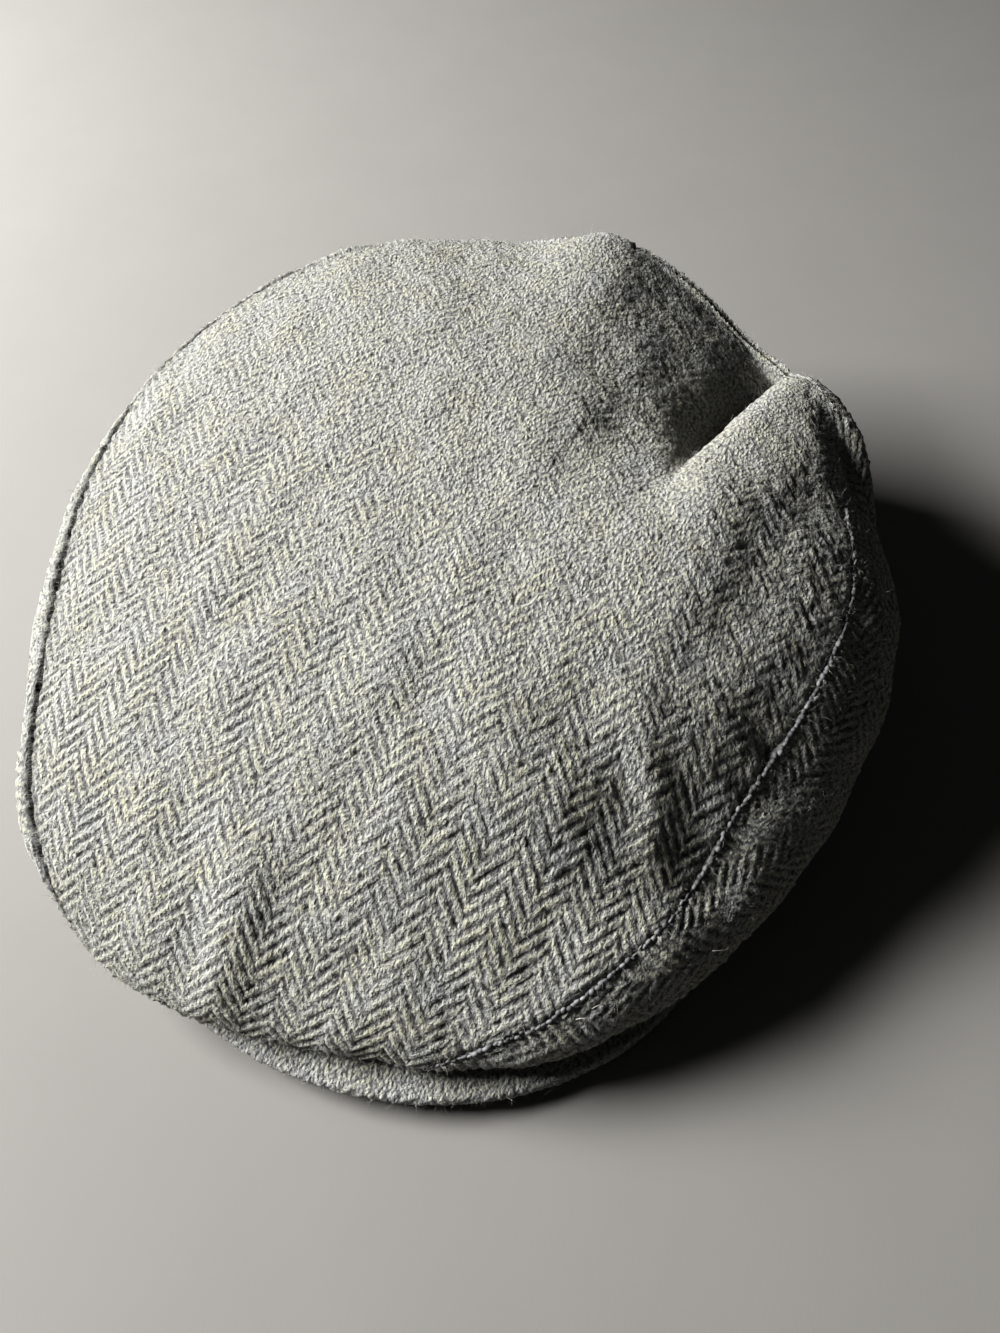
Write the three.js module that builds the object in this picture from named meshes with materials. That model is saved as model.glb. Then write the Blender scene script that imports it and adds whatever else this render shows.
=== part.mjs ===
// Flat cap of herringbone tweed: a soft crown sewn from one top panel and two side panels, over a short
// stiff peak. Millimetres, +Z up, the peak towards -Y, the wearer's left towards +X, the rim of the head
// opening on the ground.
import * as THREE from "three";

// Cloth and clearances
const wall = 2.2; // tweed with its backing
const seamGap = 0.35; // clearance between neighbouring pieces
const cloth = { color: 0x8d897e, roughness: 0.95, metalness: 0 };

// Head opening, an oval for a head of about 57 cm
const rimHalfWidth = 86;
const rimHalfLength = 95;
const rimMiddleY = 10; // behind the crown's middle

// Crown section
const domePower = 2.35; // roundness from the top's middle to the widest line, 2 is an ellipse
const underTurn = 62; // degrees that the wall turns under between the widest line and the rim
const foldFade = 0.6; // how soon a fold dies out towards the widest line
const foldEnds = 16; // length of a fold's soft ends

// Peak
const peakThickness = 3.5;
const peakDepth = 35; // from the rim to the lip, on the middle line
const peakHalfSpan = 68; // degrees each way from its middle along the rim
const peakTurn = -2; // degrees that its middle lies round from the front, as the crown has slouched on it
const peakArch = 3.5; // rise of the lip's middle above its corners
const peakDroop = 1; // fall from the rim to the lip
const peakEndShare = 0.97; // the corners stop this far along the span
const peakCorner = { power: 2.6, root: 0.5 }; // shape of the lip's plan
const liftFade = 0.12; // share of the span over which the rim comes down beside the peak

// Facets
const directionSteps = 96;
const topSteps = 15;
const sideSteps = 9;
const peakSections = 44;
const peakSteps = 5;
const noseSteps = 5;

// Rows round the crown, counter-clockwise from +X seen from above: reach of the widest line from the crown's
// middle, its height, and the place of the seam on the way from the top's middle (0), over the widest line
// (1) to the rim (2)
const crownRows = [
  { direction: 0, reach: 110, height: 24, seam: 0.58 },
  { direction: 20, reach: 117, height: 32, seam: 0.61 },
  { direction: 36, reach: 119, height: 44, seam: 0.66 },
  { direction: 48, reach: 125, height: 56, seam: 0.74 },
  { direction: 57, reach: 128, height: 57, seam: 0.8 },
  { direction: 64, reach: 129, height: 55, seam: 0.84 },
  { direction: 72, reach: 130, height: 58, seam: 0.84 },
  { direction: 82, reach: 130, height: 69, seam: 0.84 },
  { direction: 92, reach: 130, height: 75, seam: 0.84 },
  { direction: 108, reach: 131, height: 67, seam: 0.84 },
  { direction: 130, reach: 132, height: 68, seam: 0.82 },
  { direction: 150, reach: 132, height: 58, seam: 0.8 },
  { direction: 170, reach: 128, height: 48, seam: 0.8 },
  { direction: 190, reach: 123, height: 40, seam: 0.76 },
  { direction: 210, reach: 122, height: 31, seam: 0.78 },
  { direction: 228, reach: 128, height: 23, seam: 0.83 },
  { direction: 244, reach: 127, height: 17, seam: 0.98 },
  { direction: 253, reach: 124, height: 15, seam: 1.25 },
  { direction: 262, reach: 119, height: 12, seam: 1.5 },
  { direction: 276, reach: 113, height: 11, seam: 1.4 },
  { direction: 290, reach: 112, height: 11.5, seam: 0.92 },
  { direction: 304, reach: 112, height: 14, seam: 0.75 },
  { direction: 320, reach: 109, height: 16, seam: 0.67 },
  { direction: 340, reach: 107, height: 19, seam: 0.58 },
];

// Height of the crown's top from front to back
const ridgeRows = [
  { along: -125, height: 24 },
  { along: -90, height: 40 },
  { along: -50, height: 55 },
  { along: 0, height: 67 },
  { along: 50, height: 75 },
  { along: 90, height: 79 },
  { along: 135, height: 80 },
];

// Folds in the top: the line that each runs along, how far it spreads to the left and right of that way, and
// its depth at both ends, a negative depth being a ridge
const foldRows = [
  // back dent and the ridge beside it
  { fromX: 58, fromY: 118, toX: 40, toY: 58, spreadLeft: 12, spreadRight: 32, depthFrom: 20, depthTo: 4 },
  { fromX: 50, fromY: 82, toX: 37, toY: 46, spreadLeft: 10, spreadRight: 14, depthFrom: 4, depthTo: 7 },
  { fromX: 74, fromY: 92, toX: 56, toY: 44, spreadLeft: 16, spreadRight: 12, depthFrom: -3, depthTo: 0 },
  // crease by the left ear of the dent
  { fromX: 72, fromY: 84, toX: 82, toY: 66, spreadLeft: 6, spreadRight: 6, depthFrom: 2, depthTo: 3 },
  // ridge and valley at the front
  { fromX: -16, fromY: -114, toX: -18, toY: -80, spreadLeft: 9, spreadRight: 9, depthFrom: -4, depthTo: -1 },
  { fromX: 0, fromY: -112, toX: 8, toY: -80, spreadLeft: 12, spreadRight: 9, depthFrom: 5, depthTo: 1 },
  // dimple at the wearer's left and the swell beside it
  { fromX: 50, fromY: -32, toX: 55, toY: -46, spreadLeft: 9, spreadRight: 9, depthFrom: 2, depthTo: 2.5 },
  { fromX: 64, fromY: -28, toX: 70, toY: -42, spreadLeft: 9, spreadRight: 8, depthFrom: -1, depthTo: -2 },
];

function smoothStep(share) {
  const t = THREE.MathUtils.clamp(share, 0, 1);
  return t * t * (3 - 2 * t);
}

// Smooth curve through the rows' values: a Hermite cubic whose slopes come from the neighbouring rows. With a
// period the rows close on themselves.
function curveValue(rows, place, column, at, period = 0) {
  const count = rows.length;
  const rowAt = (index) => {
    const turn = period ? Math.floor(index / count) : 0;
    const row = rows[period ? index - turn * count : THREE.MathUtils.clamp(index, 0, count - 1)];
    return { x: row[place] + turn * period, y: row[column] };
  };
  const first = rows[0][place];
  const last = rows[count - 1][place];
  const x = period
    ? first + THREE.MathUtils.euclideanModulo(at - first, period)
    : THREE.MathUtils.clamp(at, first, last);
  let index = rows.findLastIndex((row) => row[place] <= x);
  if (!period) index = Math.min(index, count - 2);
  const [before, start, end, after] = [-1, 0, 1, 2].map((offset) => rowAt(index + offset));
  const width = end.x - start.x;
  const t = (x - start.x) / width;
  const startSlope = ((end.y - before.y) / (end.x - before.x)) * width;
  const endSlope = ((after.y - start.y) / (after.x - start.x)) * width;
  const startPart = (2 * t ** 3 - 3 * t ** 2 + 1) * start.y + (t ** 3 - 2 * t ** 2 + t) * startSlope;
  const endPart = (3 * t ** 2 - 2 * t ** 3) * end.y + (t ** 3 - t ** 2) * endSlope;
  return startPart + endPart;
}

const crownValue = (direction, column) => curveValue(crownRows, "direction", column, direction, 360);

// Depth of all folds at a place in plan: a bell across each fold's line and soft ends along it
function foldDepth(x, y) {
  let depth = 0;
  for (const fold of foldRows) {
    const length = Math.hypot(fold.toX - fold.fromX, fold.toY - fold.fromY);
    const wayX = (fold.toX - fold.fromX) / length;
    const wayY = (fold.toY - fold.fromY) / length;
    const run = (x - fold.fromX) * wayX + (y - fold.fromY) * wayY;
    const side = (x - fold.fromX) * wayY - (y - fold.fromY) * wayX;
    const spread = side > 0 ? fold.spreadRight : fold.spreadLeft;
    const past = Math.max(-run, run - length, 0);
    const onLine = THREE.MathUtils.lerp(fold.depthFrom, fold.depthTo, smoothStep(run / length));
    depth += onLine * Math.exp(-((past / foldEnds) ** 2) - (side / spread) ** 2);
  }
  return depth;
}

// Share of the peak's half span at a direction: 0 at its middle, 1 at its corners
function peakShare(direction) {
  const fromMiddle = THREE.MathUtils.euclideanModulo(direction - peakTurn + 270, 360) - 180;
  return fromMiddle / peakHalfSpan;
}

function peakTop(share, outward) {
  const arch = Math.max(0, 1 - share * share);
  return peakThickness + arch * (peakArch + peakDroop * (1 - outward));
}

// Edge of the head opening, lifted onto the peak at the front. An inset point lies on the wall's inner face.
function rimPoint(direction, inset) {
  const angle = THREE.MathUtils.degToRad(direction);
  const share = Math.abs(peakShare(direction));
  const overPeak = 1 - smoothStep((share - 1) / liftFade);
  const lift = (peakTop(Math.min(share, 1), 0) + seamGap) * overPeak;
  return new THREE.Vector3(
    (rimHalfWidth - inset) * Math.cos(angle),
    (rimHalfLength - inset) * Math.sin(angle) + rimMiddleY,
    lift + inset * Math.max(0, 1 - share) * overPeak,
  );
}

// Point of the crown's wall at a direction and a way from the top's middle (0) to the rim (2)
function crownPoint(direction, way, inset = 0) {
  const angle = THREE.MathUtils.degToRad(direction);
  const reach = crownValue(direction, "reach") - inset;
  const edgeHeight = crownValue(direction, "height");
  const overTop = (Math.min(way, 1) * Math.PI) / 2;
  const outward = Math.sin(overTop) ** (2 / domePower);
  const dome = Math.max(0, Math.cos(overTop)) ** (2 / domePower);
  const x = outward * reach * Math.cos(angle);
  const y = outward * reach * Math.sin(angle);
  const ridge = curveValue(ridgeRows, "along", "height", y) - inset;
  const z = ridge * dome + edgeHeight * (1 - dome) - foldDepth(x, y) * dome ** foldFade;
  if (way <= 1) return new THREE.Vector3(x, y, z);
  const turned = THREE.MathUtils.degToRad(underTurn);
  const under = (way - 1) * turned;
  const inwards = (1 - Math.cos(under)) / (1 - Math.cos(turned));
  const downwards = Math.sin(under) / Math.sin(turned);
  const rim = rimPoint(direction, inset);
  return new THREE.Vector3(
    THREE.MathUtils.lerp(x, rim.x, inwards),
    THREE.MathUtils.lerp(y, rim.y, inwards),
    THREE.MathUtils.lerp(z, rim.z, downwards),
  );
}

// The seam's place on the way, moved by a distance along the wall to leave half of the gap
function seamWay(direction, distance) {
  const way = crownValue(direction, "seam");
  const step = 0.01;
  const stretch = crownPoint(direction, way - step).distanceTo(crownPoint(direction, way + step));
  return way + (distance * 2 * step) / stretch;
}

function solidGeometry(points, triangles) {
  const geometry = new THREE.BufferGeometry().setFromPoints(points);
  geometry.setIndex(triangles);
  geometry.computeVertexNormals();
  return geometry;
}

// Closed loops joined one to the next, with both end loops filled by strips across them
function sweptSolid(loops) {
  const size = loops[0].length;
  const triangles = [];
  for (let i = 0; i + 1 < loops.length; i += 1) {
    for (let j = 0; j < size; j += 1) {
      const a = i * size + j;
      const b = i * size + ((j + 1) % size);
      triangles.push(a, b, a + size, b, b + size, a + size);
    }
  }
  const last = (loops.length - 1) * size;
  for (let j = 0; j + 1 < size / 2; j += 1) {
    const [a, b, c, d] = [j, j + 1, size - 2 - j, size - 1 - j];
    triangles.push(a, c, b, a, d, c);
    triangles.push(last + a, last + b, last + c, last + a, last + c, last + d);
  }
  return solidGeometry(loops.flat(), triangles);
}

// Paths round a pole, each from the outer pole over the edge and back to the inner pole
function domeSolid(outerPole, paths, innerPole) {
  const size = paths[0].length;
  const count = paths.length;
  const inner = count * size + 1;
  const triangles = [];
  for (let i = 0; i < count; i += 1) {
    const here = 1 + i * size;
    const next = 1 + ((i + 1) % count) * size;
    triangles.push(0, here, next);
    for (let j = 0; j + 1 < size; j += 1) {
      triangles.push(here + j, here + j + 1, next + j, next + j, here + j + 1, next + j + 1);
    }
    triangles.push(here + size - 1, inner, next + size - 1);
  }
  return solidGeometry([outerPole, ...paths.flat(), innerPole], triangles);
}

// Places 0 to 1 in even steps, both ends included
const evenSteps = (steps) => Array.from({ length: steps + 1 }, (_, index) => index / steps);

function topPanelGeometry() {
  const paths = evenSteps(directionSteps).slice(0, -1).map((turn) => {
    const direction = turn * 360;
    const edge = seamWay(direction, -seamGap / 2);
    const ways = evenSteps(topSteps).slice(1).map((share) => share * edge);
    const outer = ways.map((way) => crownPoint(direction, way));
    const inner = ways.map((way) => crownPoint(direction, way, wall));
    return [...outer, ...inner.reverse()];
  });
  return domeSolid(crownPoint(0, 0), paths, crownPoint(0, 0, wall));
}

// Side panel between two directions, from the seam down to the rim
function sidePanelGeometry(fromDirection, toDirection) {
  const joinGap = THREE.MathUtils.radToDeg(seamGap / 2 / rimHalfLength);
  const loops = evenSteps(directionSteps / 2).map((share) => {
    const direction = THREE.MathUtils.lerp(fromDirection + joinGap, toDirection - joinGap, share);
    const edge = seamWay(direction, seamGap / 2);
    const ways = evenSteps(sideSteps).map((part) => THREE.MathUtils.lerp(edge, 2, part));
    const outer = ways.map((way) => crownPoint(direction, way));
    const inner = ways.map((way) => crownPoint(direction, way, wall));
    return [...outer, ...inner.reverse()];
  });
  return sweptSolid(loops);
}

// Arched crescent with a rounded lip, its inner edge under the crown's rim
function peakGeometry() {
  const loops = evenSteps(peakSections).map((turn) => {
    const share = THREE.MathUtils.lerp(-peakEndShare, peakEndShare, turn);
    const direction = 270 + peakTurn + share * peakHalfSpan;
    const angle = THREE.MathUtils.degToRad(direction);
    const depth = peakDepth * (1 - Math.abs(share) ** peakCorner.power) ** peakCorner.root;
    const edge = rimPoint(direction, 0);
    const at = (distance, z) =>
      new THREE.Vector3(edge.x + distance * Math.cos(angle), edge.y + distance * Math.sin(angle), z);
    const half = peakThickness / 2;
    const flatEnd = depth - half;
    const top = evenSteps(peakSteps).map((part) =>
      at(THREE.MathUtils.lerp(-wall, flatEnd, part), peakTop(share, part)));
    const bottom = top.map((point) => point.clone().setZ(point.z - peakThickness));
    const lipMiddle = peakTop(share, 1) - half;
    const nose = evenSteps(noseSteps).slice(1, -1).map((part) =>
      at(flatEnd + half * Math.sin(part * Math.PI), lipMiddle + half * Math.cos(part * Math.PI)));
    return [...top, ...nose, ...bottom.reverse()];
  });
  return sweptSolid(loops);
}

function piece(name, geometry) {
  const mesh = new THREE.Mesh(geometry, new THREE.MeshStandardMaterial(cloth));
  mesh.name = name;
  return mesh;
}

const cap = new THREE.Group();
cap.add(
  piece("top_panel", topPanelGeometry()),
  piece("side_panel_left", sidePanelGeometry(-90, 90)),
  piece("side_panel_right", sidePanelGeometry(90, 270)),
  piece("peak", peakGeometry()),
);

// The origin is under the middle of the whole cap, on the ground
const box = new THREE.Box3().setFromObject(cap);
const middle = box.getCenter(new THREE.Vector3());
cap.position.set(-middle.x, -middle.y, -box.min.z);

export default cap;
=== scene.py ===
"""Flat cap of herringbone tweed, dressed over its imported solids.

A top panel and two side panels are sewn along curved seams into a crown, over a stiff cloth-covered peak.
Sizes are millimetres in the crown's own frame: its middle at x = y = 0, +Z up, the peak towards -Y and the
wearer's left towards +X. A direction is an angle in degrees about +Z from +X. A way runs from 0 at the
crown's top, through 1 at its widest, to 2 at its rim. `to_row` gives the row frame's metres.
"""

import logging
import math
from dataclasses import astuple, dataclass, field
from enum import Enum
from typing import Any

import bmesh
import bpy
import numpy as np
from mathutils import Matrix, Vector

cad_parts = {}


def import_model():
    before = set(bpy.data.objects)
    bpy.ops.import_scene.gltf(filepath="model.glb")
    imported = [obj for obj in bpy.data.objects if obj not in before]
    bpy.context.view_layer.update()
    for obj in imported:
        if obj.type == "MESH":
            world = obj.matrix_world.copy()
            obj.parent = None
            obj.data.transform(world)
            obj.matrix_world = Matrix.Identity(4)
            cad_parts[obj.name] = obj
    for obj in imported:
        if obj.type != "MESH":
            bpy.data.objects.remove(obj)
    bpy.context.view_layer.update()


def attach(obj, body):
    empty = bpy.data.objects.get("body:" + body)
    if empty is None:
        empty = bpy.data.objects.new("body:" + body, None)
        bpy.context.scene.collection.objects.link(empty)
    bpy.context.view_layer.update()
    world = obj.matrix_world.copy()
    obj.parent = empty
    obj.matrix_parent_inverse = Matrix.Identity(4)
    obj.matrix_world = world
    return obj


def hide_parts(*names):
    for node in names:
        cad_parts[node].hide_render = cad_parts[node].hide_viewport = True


Array = np.ndarray
Pair = tuple[float, float]
Rectangle = tuple[float, float, float, float]

MM = 0.001
BODY = "root"

# Middle of the crown in the row frame
CROWN_MIDDLE = np.array((7.21, -4.98, 0.0))

# Names of the meshes' maps and values
WEAVE_MAP = "weave"
BAKE_MAP = "OFBake"
WEAR = "wear"
TONE = "tone"
CRISP = "crisp"
# Share of painted shade, where shadow falls in the seams' crevices, the puckers' pits and the dent's slot
CREVICE_SHADE = "crevice_shade"

# How the meshes are shaded and merged, and the corners of a small cell of the bake map
SHARP_ANGLE = 65.0
NEVER_SHARP = 180.0
MERGE_DISTANCE = 0.01
CELL_CORNERS = np.array(((0.1, 0.1), (0.9, 0.1), (0.9, 0.9), (0.1, 0.9)))

# Edges and seams of the cloth
ABOVE_FLOOR = 0.02
EDGE_WEAR_WIDTH = 1.6
SOLID_GAP = 0.34
WIDEST_GAPE = 0.4
GAPE_UNEVENNESS = 0.3
PULL_UNEVENNESS = 0.35
SIDE_PULL_SEED = 7
# Width over which a seam's painted shade dies away from its edge
CREVICE_SHADE_WIDTH = 1.2

log = logging.getLogger("flat_cap")

# The crown's outline and seam: direction, reach and height of its widest line, way of the top panel's seam
CROWN_ROWS = np.array((
    (0, 110, 24, 0.58), (20, 117, 32, 0.61), (36, 119, 44, 0.66), (48, 125, 56, 0.74),
    (57, 128, 57, 0.80), (64, 129, 55, 0.84), (72, 130, 58, 0.84), (82, 130, 69, 0.84),
    (92, 130, 75, 0.84), (108, 131, 67, 0.84), (130, 132, 68, 0.82), (150, 132, 58, 0.80),
    (170, 128, 48, 0.80), (190, 123, 40, 0.76), (210, 122, 31, 0.78), (228, 128, 23, 0.83),
    (244, 127, 17, 0.98), (253, 124, 15, 1.25), (262, 119, 12, 1.50), (276, 113, 11, 1.40),
    (290, 112, 11.5, 0.92), (304, 112, 14, 0.75), (320, 109, 16, 0.67), (340, 107, 19, 0.58),
))

# The crown's ridge from front to back: place along y, height
RIDGE_ROWS = np.array((
    (-125, 24), (-90, 40), (-50, 55), (0, 67), (50, 75), (90, 79), (135, 80),
))


def to_row(points: Array) -> Array:
    """Points in metres of the row frame, from millimetres of the crown's frame."""
    return (points + CROWN_MIDDLE) * MM


def smooth_step(share: Array) -> Array:
    """Cubic ease from 0 to 1, flat at both ends: 3 s squared less 2 s cubed."""
    held = np.clip(share, 0.0, 1.0)
    return held * held * (3.0 - 2.0 * held)


def through_rows(places: Array, values: Array, at: Array, period: float = 0.0) -> Array:
    """Smooth curve through a table: cubic Hermite spans whose slopes come from the neighbouring rows.

    Args:
        places: The rows' places, rising.
        values: The rows' values.
        at: Where the curve is wanted.
        period: Length after which the table repeats, or 0 for a table that ends.

    Returns:
        The curve's values, shaped as `at`.
    """
    if period:
        places_all = np.concatenate((places[-2:] - period, places, places[:3] + period))
        values_all = np.concatenate((values[-2:], values, values[:3]))
        held = places[0] + np.mod(at - places[0], period)
    else:
        places_all = np.concatenate((places[:1], places, places[-1:]))
        values_all = np.concatenate((values[:1], values, values[-1:]))
        held = np.clip(at, places[0], places[-1])
    row = np.clip(np.searchsorted(places_all, held, side="right") - 1, 1, len(places_all) - 3)
    before, here, after, later = (places_all[row + step] for step in (-1, 0, 1, 2))
    value_before, value_here, value_after, value_later = (values_all[row + step] for step in (-1, 0, 1, 2))
    span = after - here
    share = (held - here) / span
    slope_here = (value_after - value_before) / (after - before) * span
    slope_after = (value_later - value_here) / (later - here) * span
    squared, cubed = share**2, share**3
    return (
        (2 * cubed - 3 * squared + 1) * value_here
        + (cubed - 2 * squared + share) * slope_here
        + (3 * squared - 2 * cubed) * value_after
        + (cubed - squared) * slope_after
    )


def by_direction(table: Array, direction: Array, column: int = 1) -> Array:
    """Smooth closed curve through one column of a table, by the direction in its first column."""
    return through_rows(table[:, 0], table[:, column], direction, 360.0)


def looked_up(table: Array, firsts: Array, seconds: Array, first: Array, second: Array) -> Array:
    """Values of a table at two places: its four nearest values, each weighed by its nearness both ways.

    Args:
        table: Values by first and second place.
        firsts: The table's first places, rising.
        seconds: The table's second places, rising.
        first: First places that are wanted.
        second: Second places that are wanted.

    Returns:
        The values, shaped as `first`.
    """
    row = np.interp(first, firsts, np.arange(len(firsts)))
    column = np.interp(second, seconds, np.arange(len(seconds)))
    row_low = np.minimum(row.astype(int), len(firsts) - 2)
    column_low = np.minimum(column.astype(int), len(seconds) - 2)
    row_part, column_part = row - row_low, column - column_low
    return (
        table[row_low, column_low] * (1.0 - row_part) * (1.0 - column_part)
        + table[row_low + 1, column_low] * row_part * (1.0 - column_part)
        + table[row_low, column_low + 1] * (1.0 - row_part) * column_part
        + table[row_low + 1, column_low + 1] * row_part * column_part
    )


def unit(vectors: Array) -> Array:
    """Vectors of length 1 along the last axis."""
    return vectors / np.maximum(np.linalg.norm(vectors, axis=-1, keepdims=True), 1e-12)


def grid_normals(points: Array) -> Array:
    """Unit normals of a grid of points: the change along its columns crossed with that along its rows."""
    return unit(np.cross(np.gradient(points, axis=1), np.gradient(points, axis=0)))


def quad_corners(grid: Array) -> Array:
    """What a grid holds at the four corners of each of its cells, round the cell, on a new last axis."""
    return np.stack((grid[:-1, :-1], grid[:-1, 1:], grid[1:, 1:], grid[1:, :-1]), axis=-1)


def soft_waves(x: Array, y: Array, shortest: float, longest: float, count: int, seed: int) -> Array:
    """Uneven rise between about -1 and 1: a mean of sine waves with seeded lengths, bearings and phases.

    Args:
        x: Place across, in millimetres.
        y: Place along, in millimetres.
        shortest: Shortest wavelength.
        longest: Longest wavelength.
        count: How many waves are added.
        seed: Seed of the waves.

    Returns:
        The rise, shaped as `x`.
    """
    random = np.random.default_rng(seed)
    rise = np.zeros_like(x)
    for _ in range(count):
        bearing, phase = random.uniform(0.0, 2.0 * np.pi, 2)
        number = 2.0 * np.pi / random.uniform(shortest, longest)
        rise = rise + np.sin(number * (x * np.cos(bearing) + y * np.sin(bearing)) + phase)
    return rise / math.sqrt(count)


@dataclass(frozen=True)
class Crease:
    """A fold of the cloth along a line from front to back.

    Each row gives a place along y, and there the line's x, the fold's depth, and its spreads to -x and +x.
    """

    sharpness: float
    rows: tuple[tuple[float, ...], ...]

    @property
    def deepest(self) -> float:
        """Greatest depth along the line."""
        return max(row[2] for row in self.rows)

    def depth(self, x: Array, y: Array) -> Array:
        """Depth of the fold: it dies away from its line as e to the minus distance over spread, to a power.

        Args:
            x: Place across.
            y: Place along.

        Returns:
            Depth under the plain dome, less than 0 for a raised fold.
        """
        table = np.array(self.rows)
        line, deep, left, right = (through_rows(table[:, 0], table[:, column], y) for column in (1, 2, 3, 4))
        away = x - line
        return deep * np.exp(-np.abs(away / np.where(away < 0.0, left, right)) ** self.sharpness)


# The dent pressed into the back, with a long wall towards the middle and a short steep one to the right ear
DENT = Crease(2.0, (
    (22, 37, 0, 24, 10.5), (36, 37.5, 4, 28, 10.5), (49, 39, 7, 33, 10.5), (62, 40.5, 9.5, 39, 11),
    (77, 44, 12.5, 46, 11.5), (92, 48, 14.5, 51, 12), (110, 52.5, 16.5, 53, 12), (128, 57.5, 19, 53, 12.5),
))

# The deep slot where the ear folds over the dent
SLOT = Crease(1.5, (
    (40, 38.5, 0, 5, 1.8), (52, 39.5, 3, 6, 1.8), (64, 41.5, 6.5, 8, 1.8), (80, 46, 13, 10, 1.8),
    (98, 50.5, 14.5, 11, 1.8), (116, 55.5, 12, 11, 1.8), (128, 58.5, 8, 11, 1.8),
))

# The right ear, sunk below the left one
EAR = Crease(2.0, (
    (42, 56, 0, 11, 44), (58, 58, 5.5, 11.5, 46), (76, 61, 7, 11.5, 48), (94, 65, 6.5, 12, 46),
    (108, 68, 4.5, 13, 40), (120, 71, 0, 14, 34),
))

# The soft ridge from the right ear down to the front of the seam
RIDGE = Crease(2.0, (
    (-54, 71, 0, 5, 5), (-43, 66, -1, 5, 5), (-30, 59, -1.6, 5, 6.5), (-16, 51.5, -0.3, 9.5, 9),
    (0, 48.5, -0.8, 13, 12), (20, 48, -2.2, 14, 13.5), (37, 48, -2.6, 12.5, 13), (56, 49.5, -1.8, 9.5, 11.5),
    (75, 52.5, -3.8, 8.5, 10), (92, 56, -5.8, 8, 8.5), (112, 60, -4, 8.5, 7.5),
))

# The slack flank between that ridge and the seam
FLANK = Crease(2.0, (
    (-76, 76.5, 0, 17, 30), (-62, 80.5, 0, 17, 30), (-44, 84.5, 8, 18.5, 30), (-20, 90.5, 7, 21, 30),
    (10, 95.5, 2.5, 28, 30), (40, 97.5, 2.2, 28, 30), (64, 96.5, 1.6, 26, 30), (84, 90.5, 0, 24, 30),
))

# The dimple beside the ridge's lower end
DIMPLE = Crease(2.0, (
    (-72, 75.5, 0, 14, 26), (-60, 71, 1.7, 17.5, 28), (-49, 66, 4.5, 19.5, 28), (-39, 60.5, 4.9, 20.5, 28),
    (-28, 55, 2.8, 20.5, 28), (-16, 50.5, 0.4, 19, 28), (0, 48.5, 0, 17.5, 28),
))

# The notch in the right ear
NOTCH = Crease(1.6, (
    (54, 95.5, 0, 7, 24), (65, 89.5, 4.5, 7, 32), (75, 84.5, 7.5, 7, 36), (86, 78.5, 6.8, 7, 34),
    (98, 72.5, 0, 7, 24),
))

# The fold that the peak pushes up in the front, and the hollow beside it
FRONT_RIDGE = Crease(2.0, (
    (-122, -16.5, -6, 7, 9), (-113, -18, -4.5, 7, 9), (-103, -19.5, -4.2, 7, 9), (-91, -21, -2.8, 8, 9.5),
    (-76, -21.5, 0, 10, 9.5),
))
FRONT_HOLLOW = Crease(2.0, (
    (-122, -5.5, 0.8, 28, 22), (-113, -6.5, 2.2, 28, 22), (-100, -9.5, 2, 28, 21), (-82, -12.5, 0, 28, 20),
))

# The slack front between that fold and the seam
FRONT_SLOPE = Crease(2.0, (
    (-118, 45, 1.8, 30, 28), (-100, 48, 3, 31, 30), (-80, 52, 5, 31, 30), (-60, 57, 5, 28, 28),
    (-45, 61, 0, 25, 25),
))

# The raised fold that gives the back its other ear
BACK_RIDGE = Crease(2.0, (
    (84, -9, 0, 14, 13), (104, -10, -2, 14, 13), (118, -10, -4, 13, 12), (130, -9, -8, 12, 11),
))

CREASES = (DENT, SLOT, EAR, RIDGE, FLANK, DIMPLE, NOTCH, FRONT_RIDGE, FRONT_HOLLOW, FRONT_SLOPE, BACK_RIDGE)


@dataclass(frozen=True)
class PeakShape:
    """The peak's solid: a board that fans out under the crown's front rim."""

    thickness: float = 3.5
    depth: float = 35.0
    half_span: float = 68.0
    turn: float = -2.0
    arch: float = 3.5
    droop: float = 1.0
    end_share: float = 0.97
    corner_power: float = 2.6
    corner_root: float = 0.5
    tuck: float = 2.2
    seam_gap: float = 0.35

    def share(self, direction: Array) -> Array:
        """How far a direction is from the peak's middle, with 1 at its corners."""
        return np.abs(np.mod(direction - self.turn + 270.0, 360.0) - 180.0) / self.half_span

    def direction(self, share: Array) -> Array:
        """The direction at a signed share of the half span."""
        return 270.0 + self.turn + share * self.half_span

    def top(self, share: Array, outward: Array) -> Array:
        """Height of the upper face: a parabolic arch across the span that droops towards the lip."""
        return self.thickness + np.maximum(0.0, 1.0 - share**2) * (self.arch + self.droop * (1.0 - outward))

    def reach(self, share: Array) -> Array:
        """How far the lip stands out from the rim: full depth in the middle, rounded off to the corners."""
        return self.depth * (1.0 - np.abs(share) ** self.corner_power) ** self.corner_root


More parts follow.
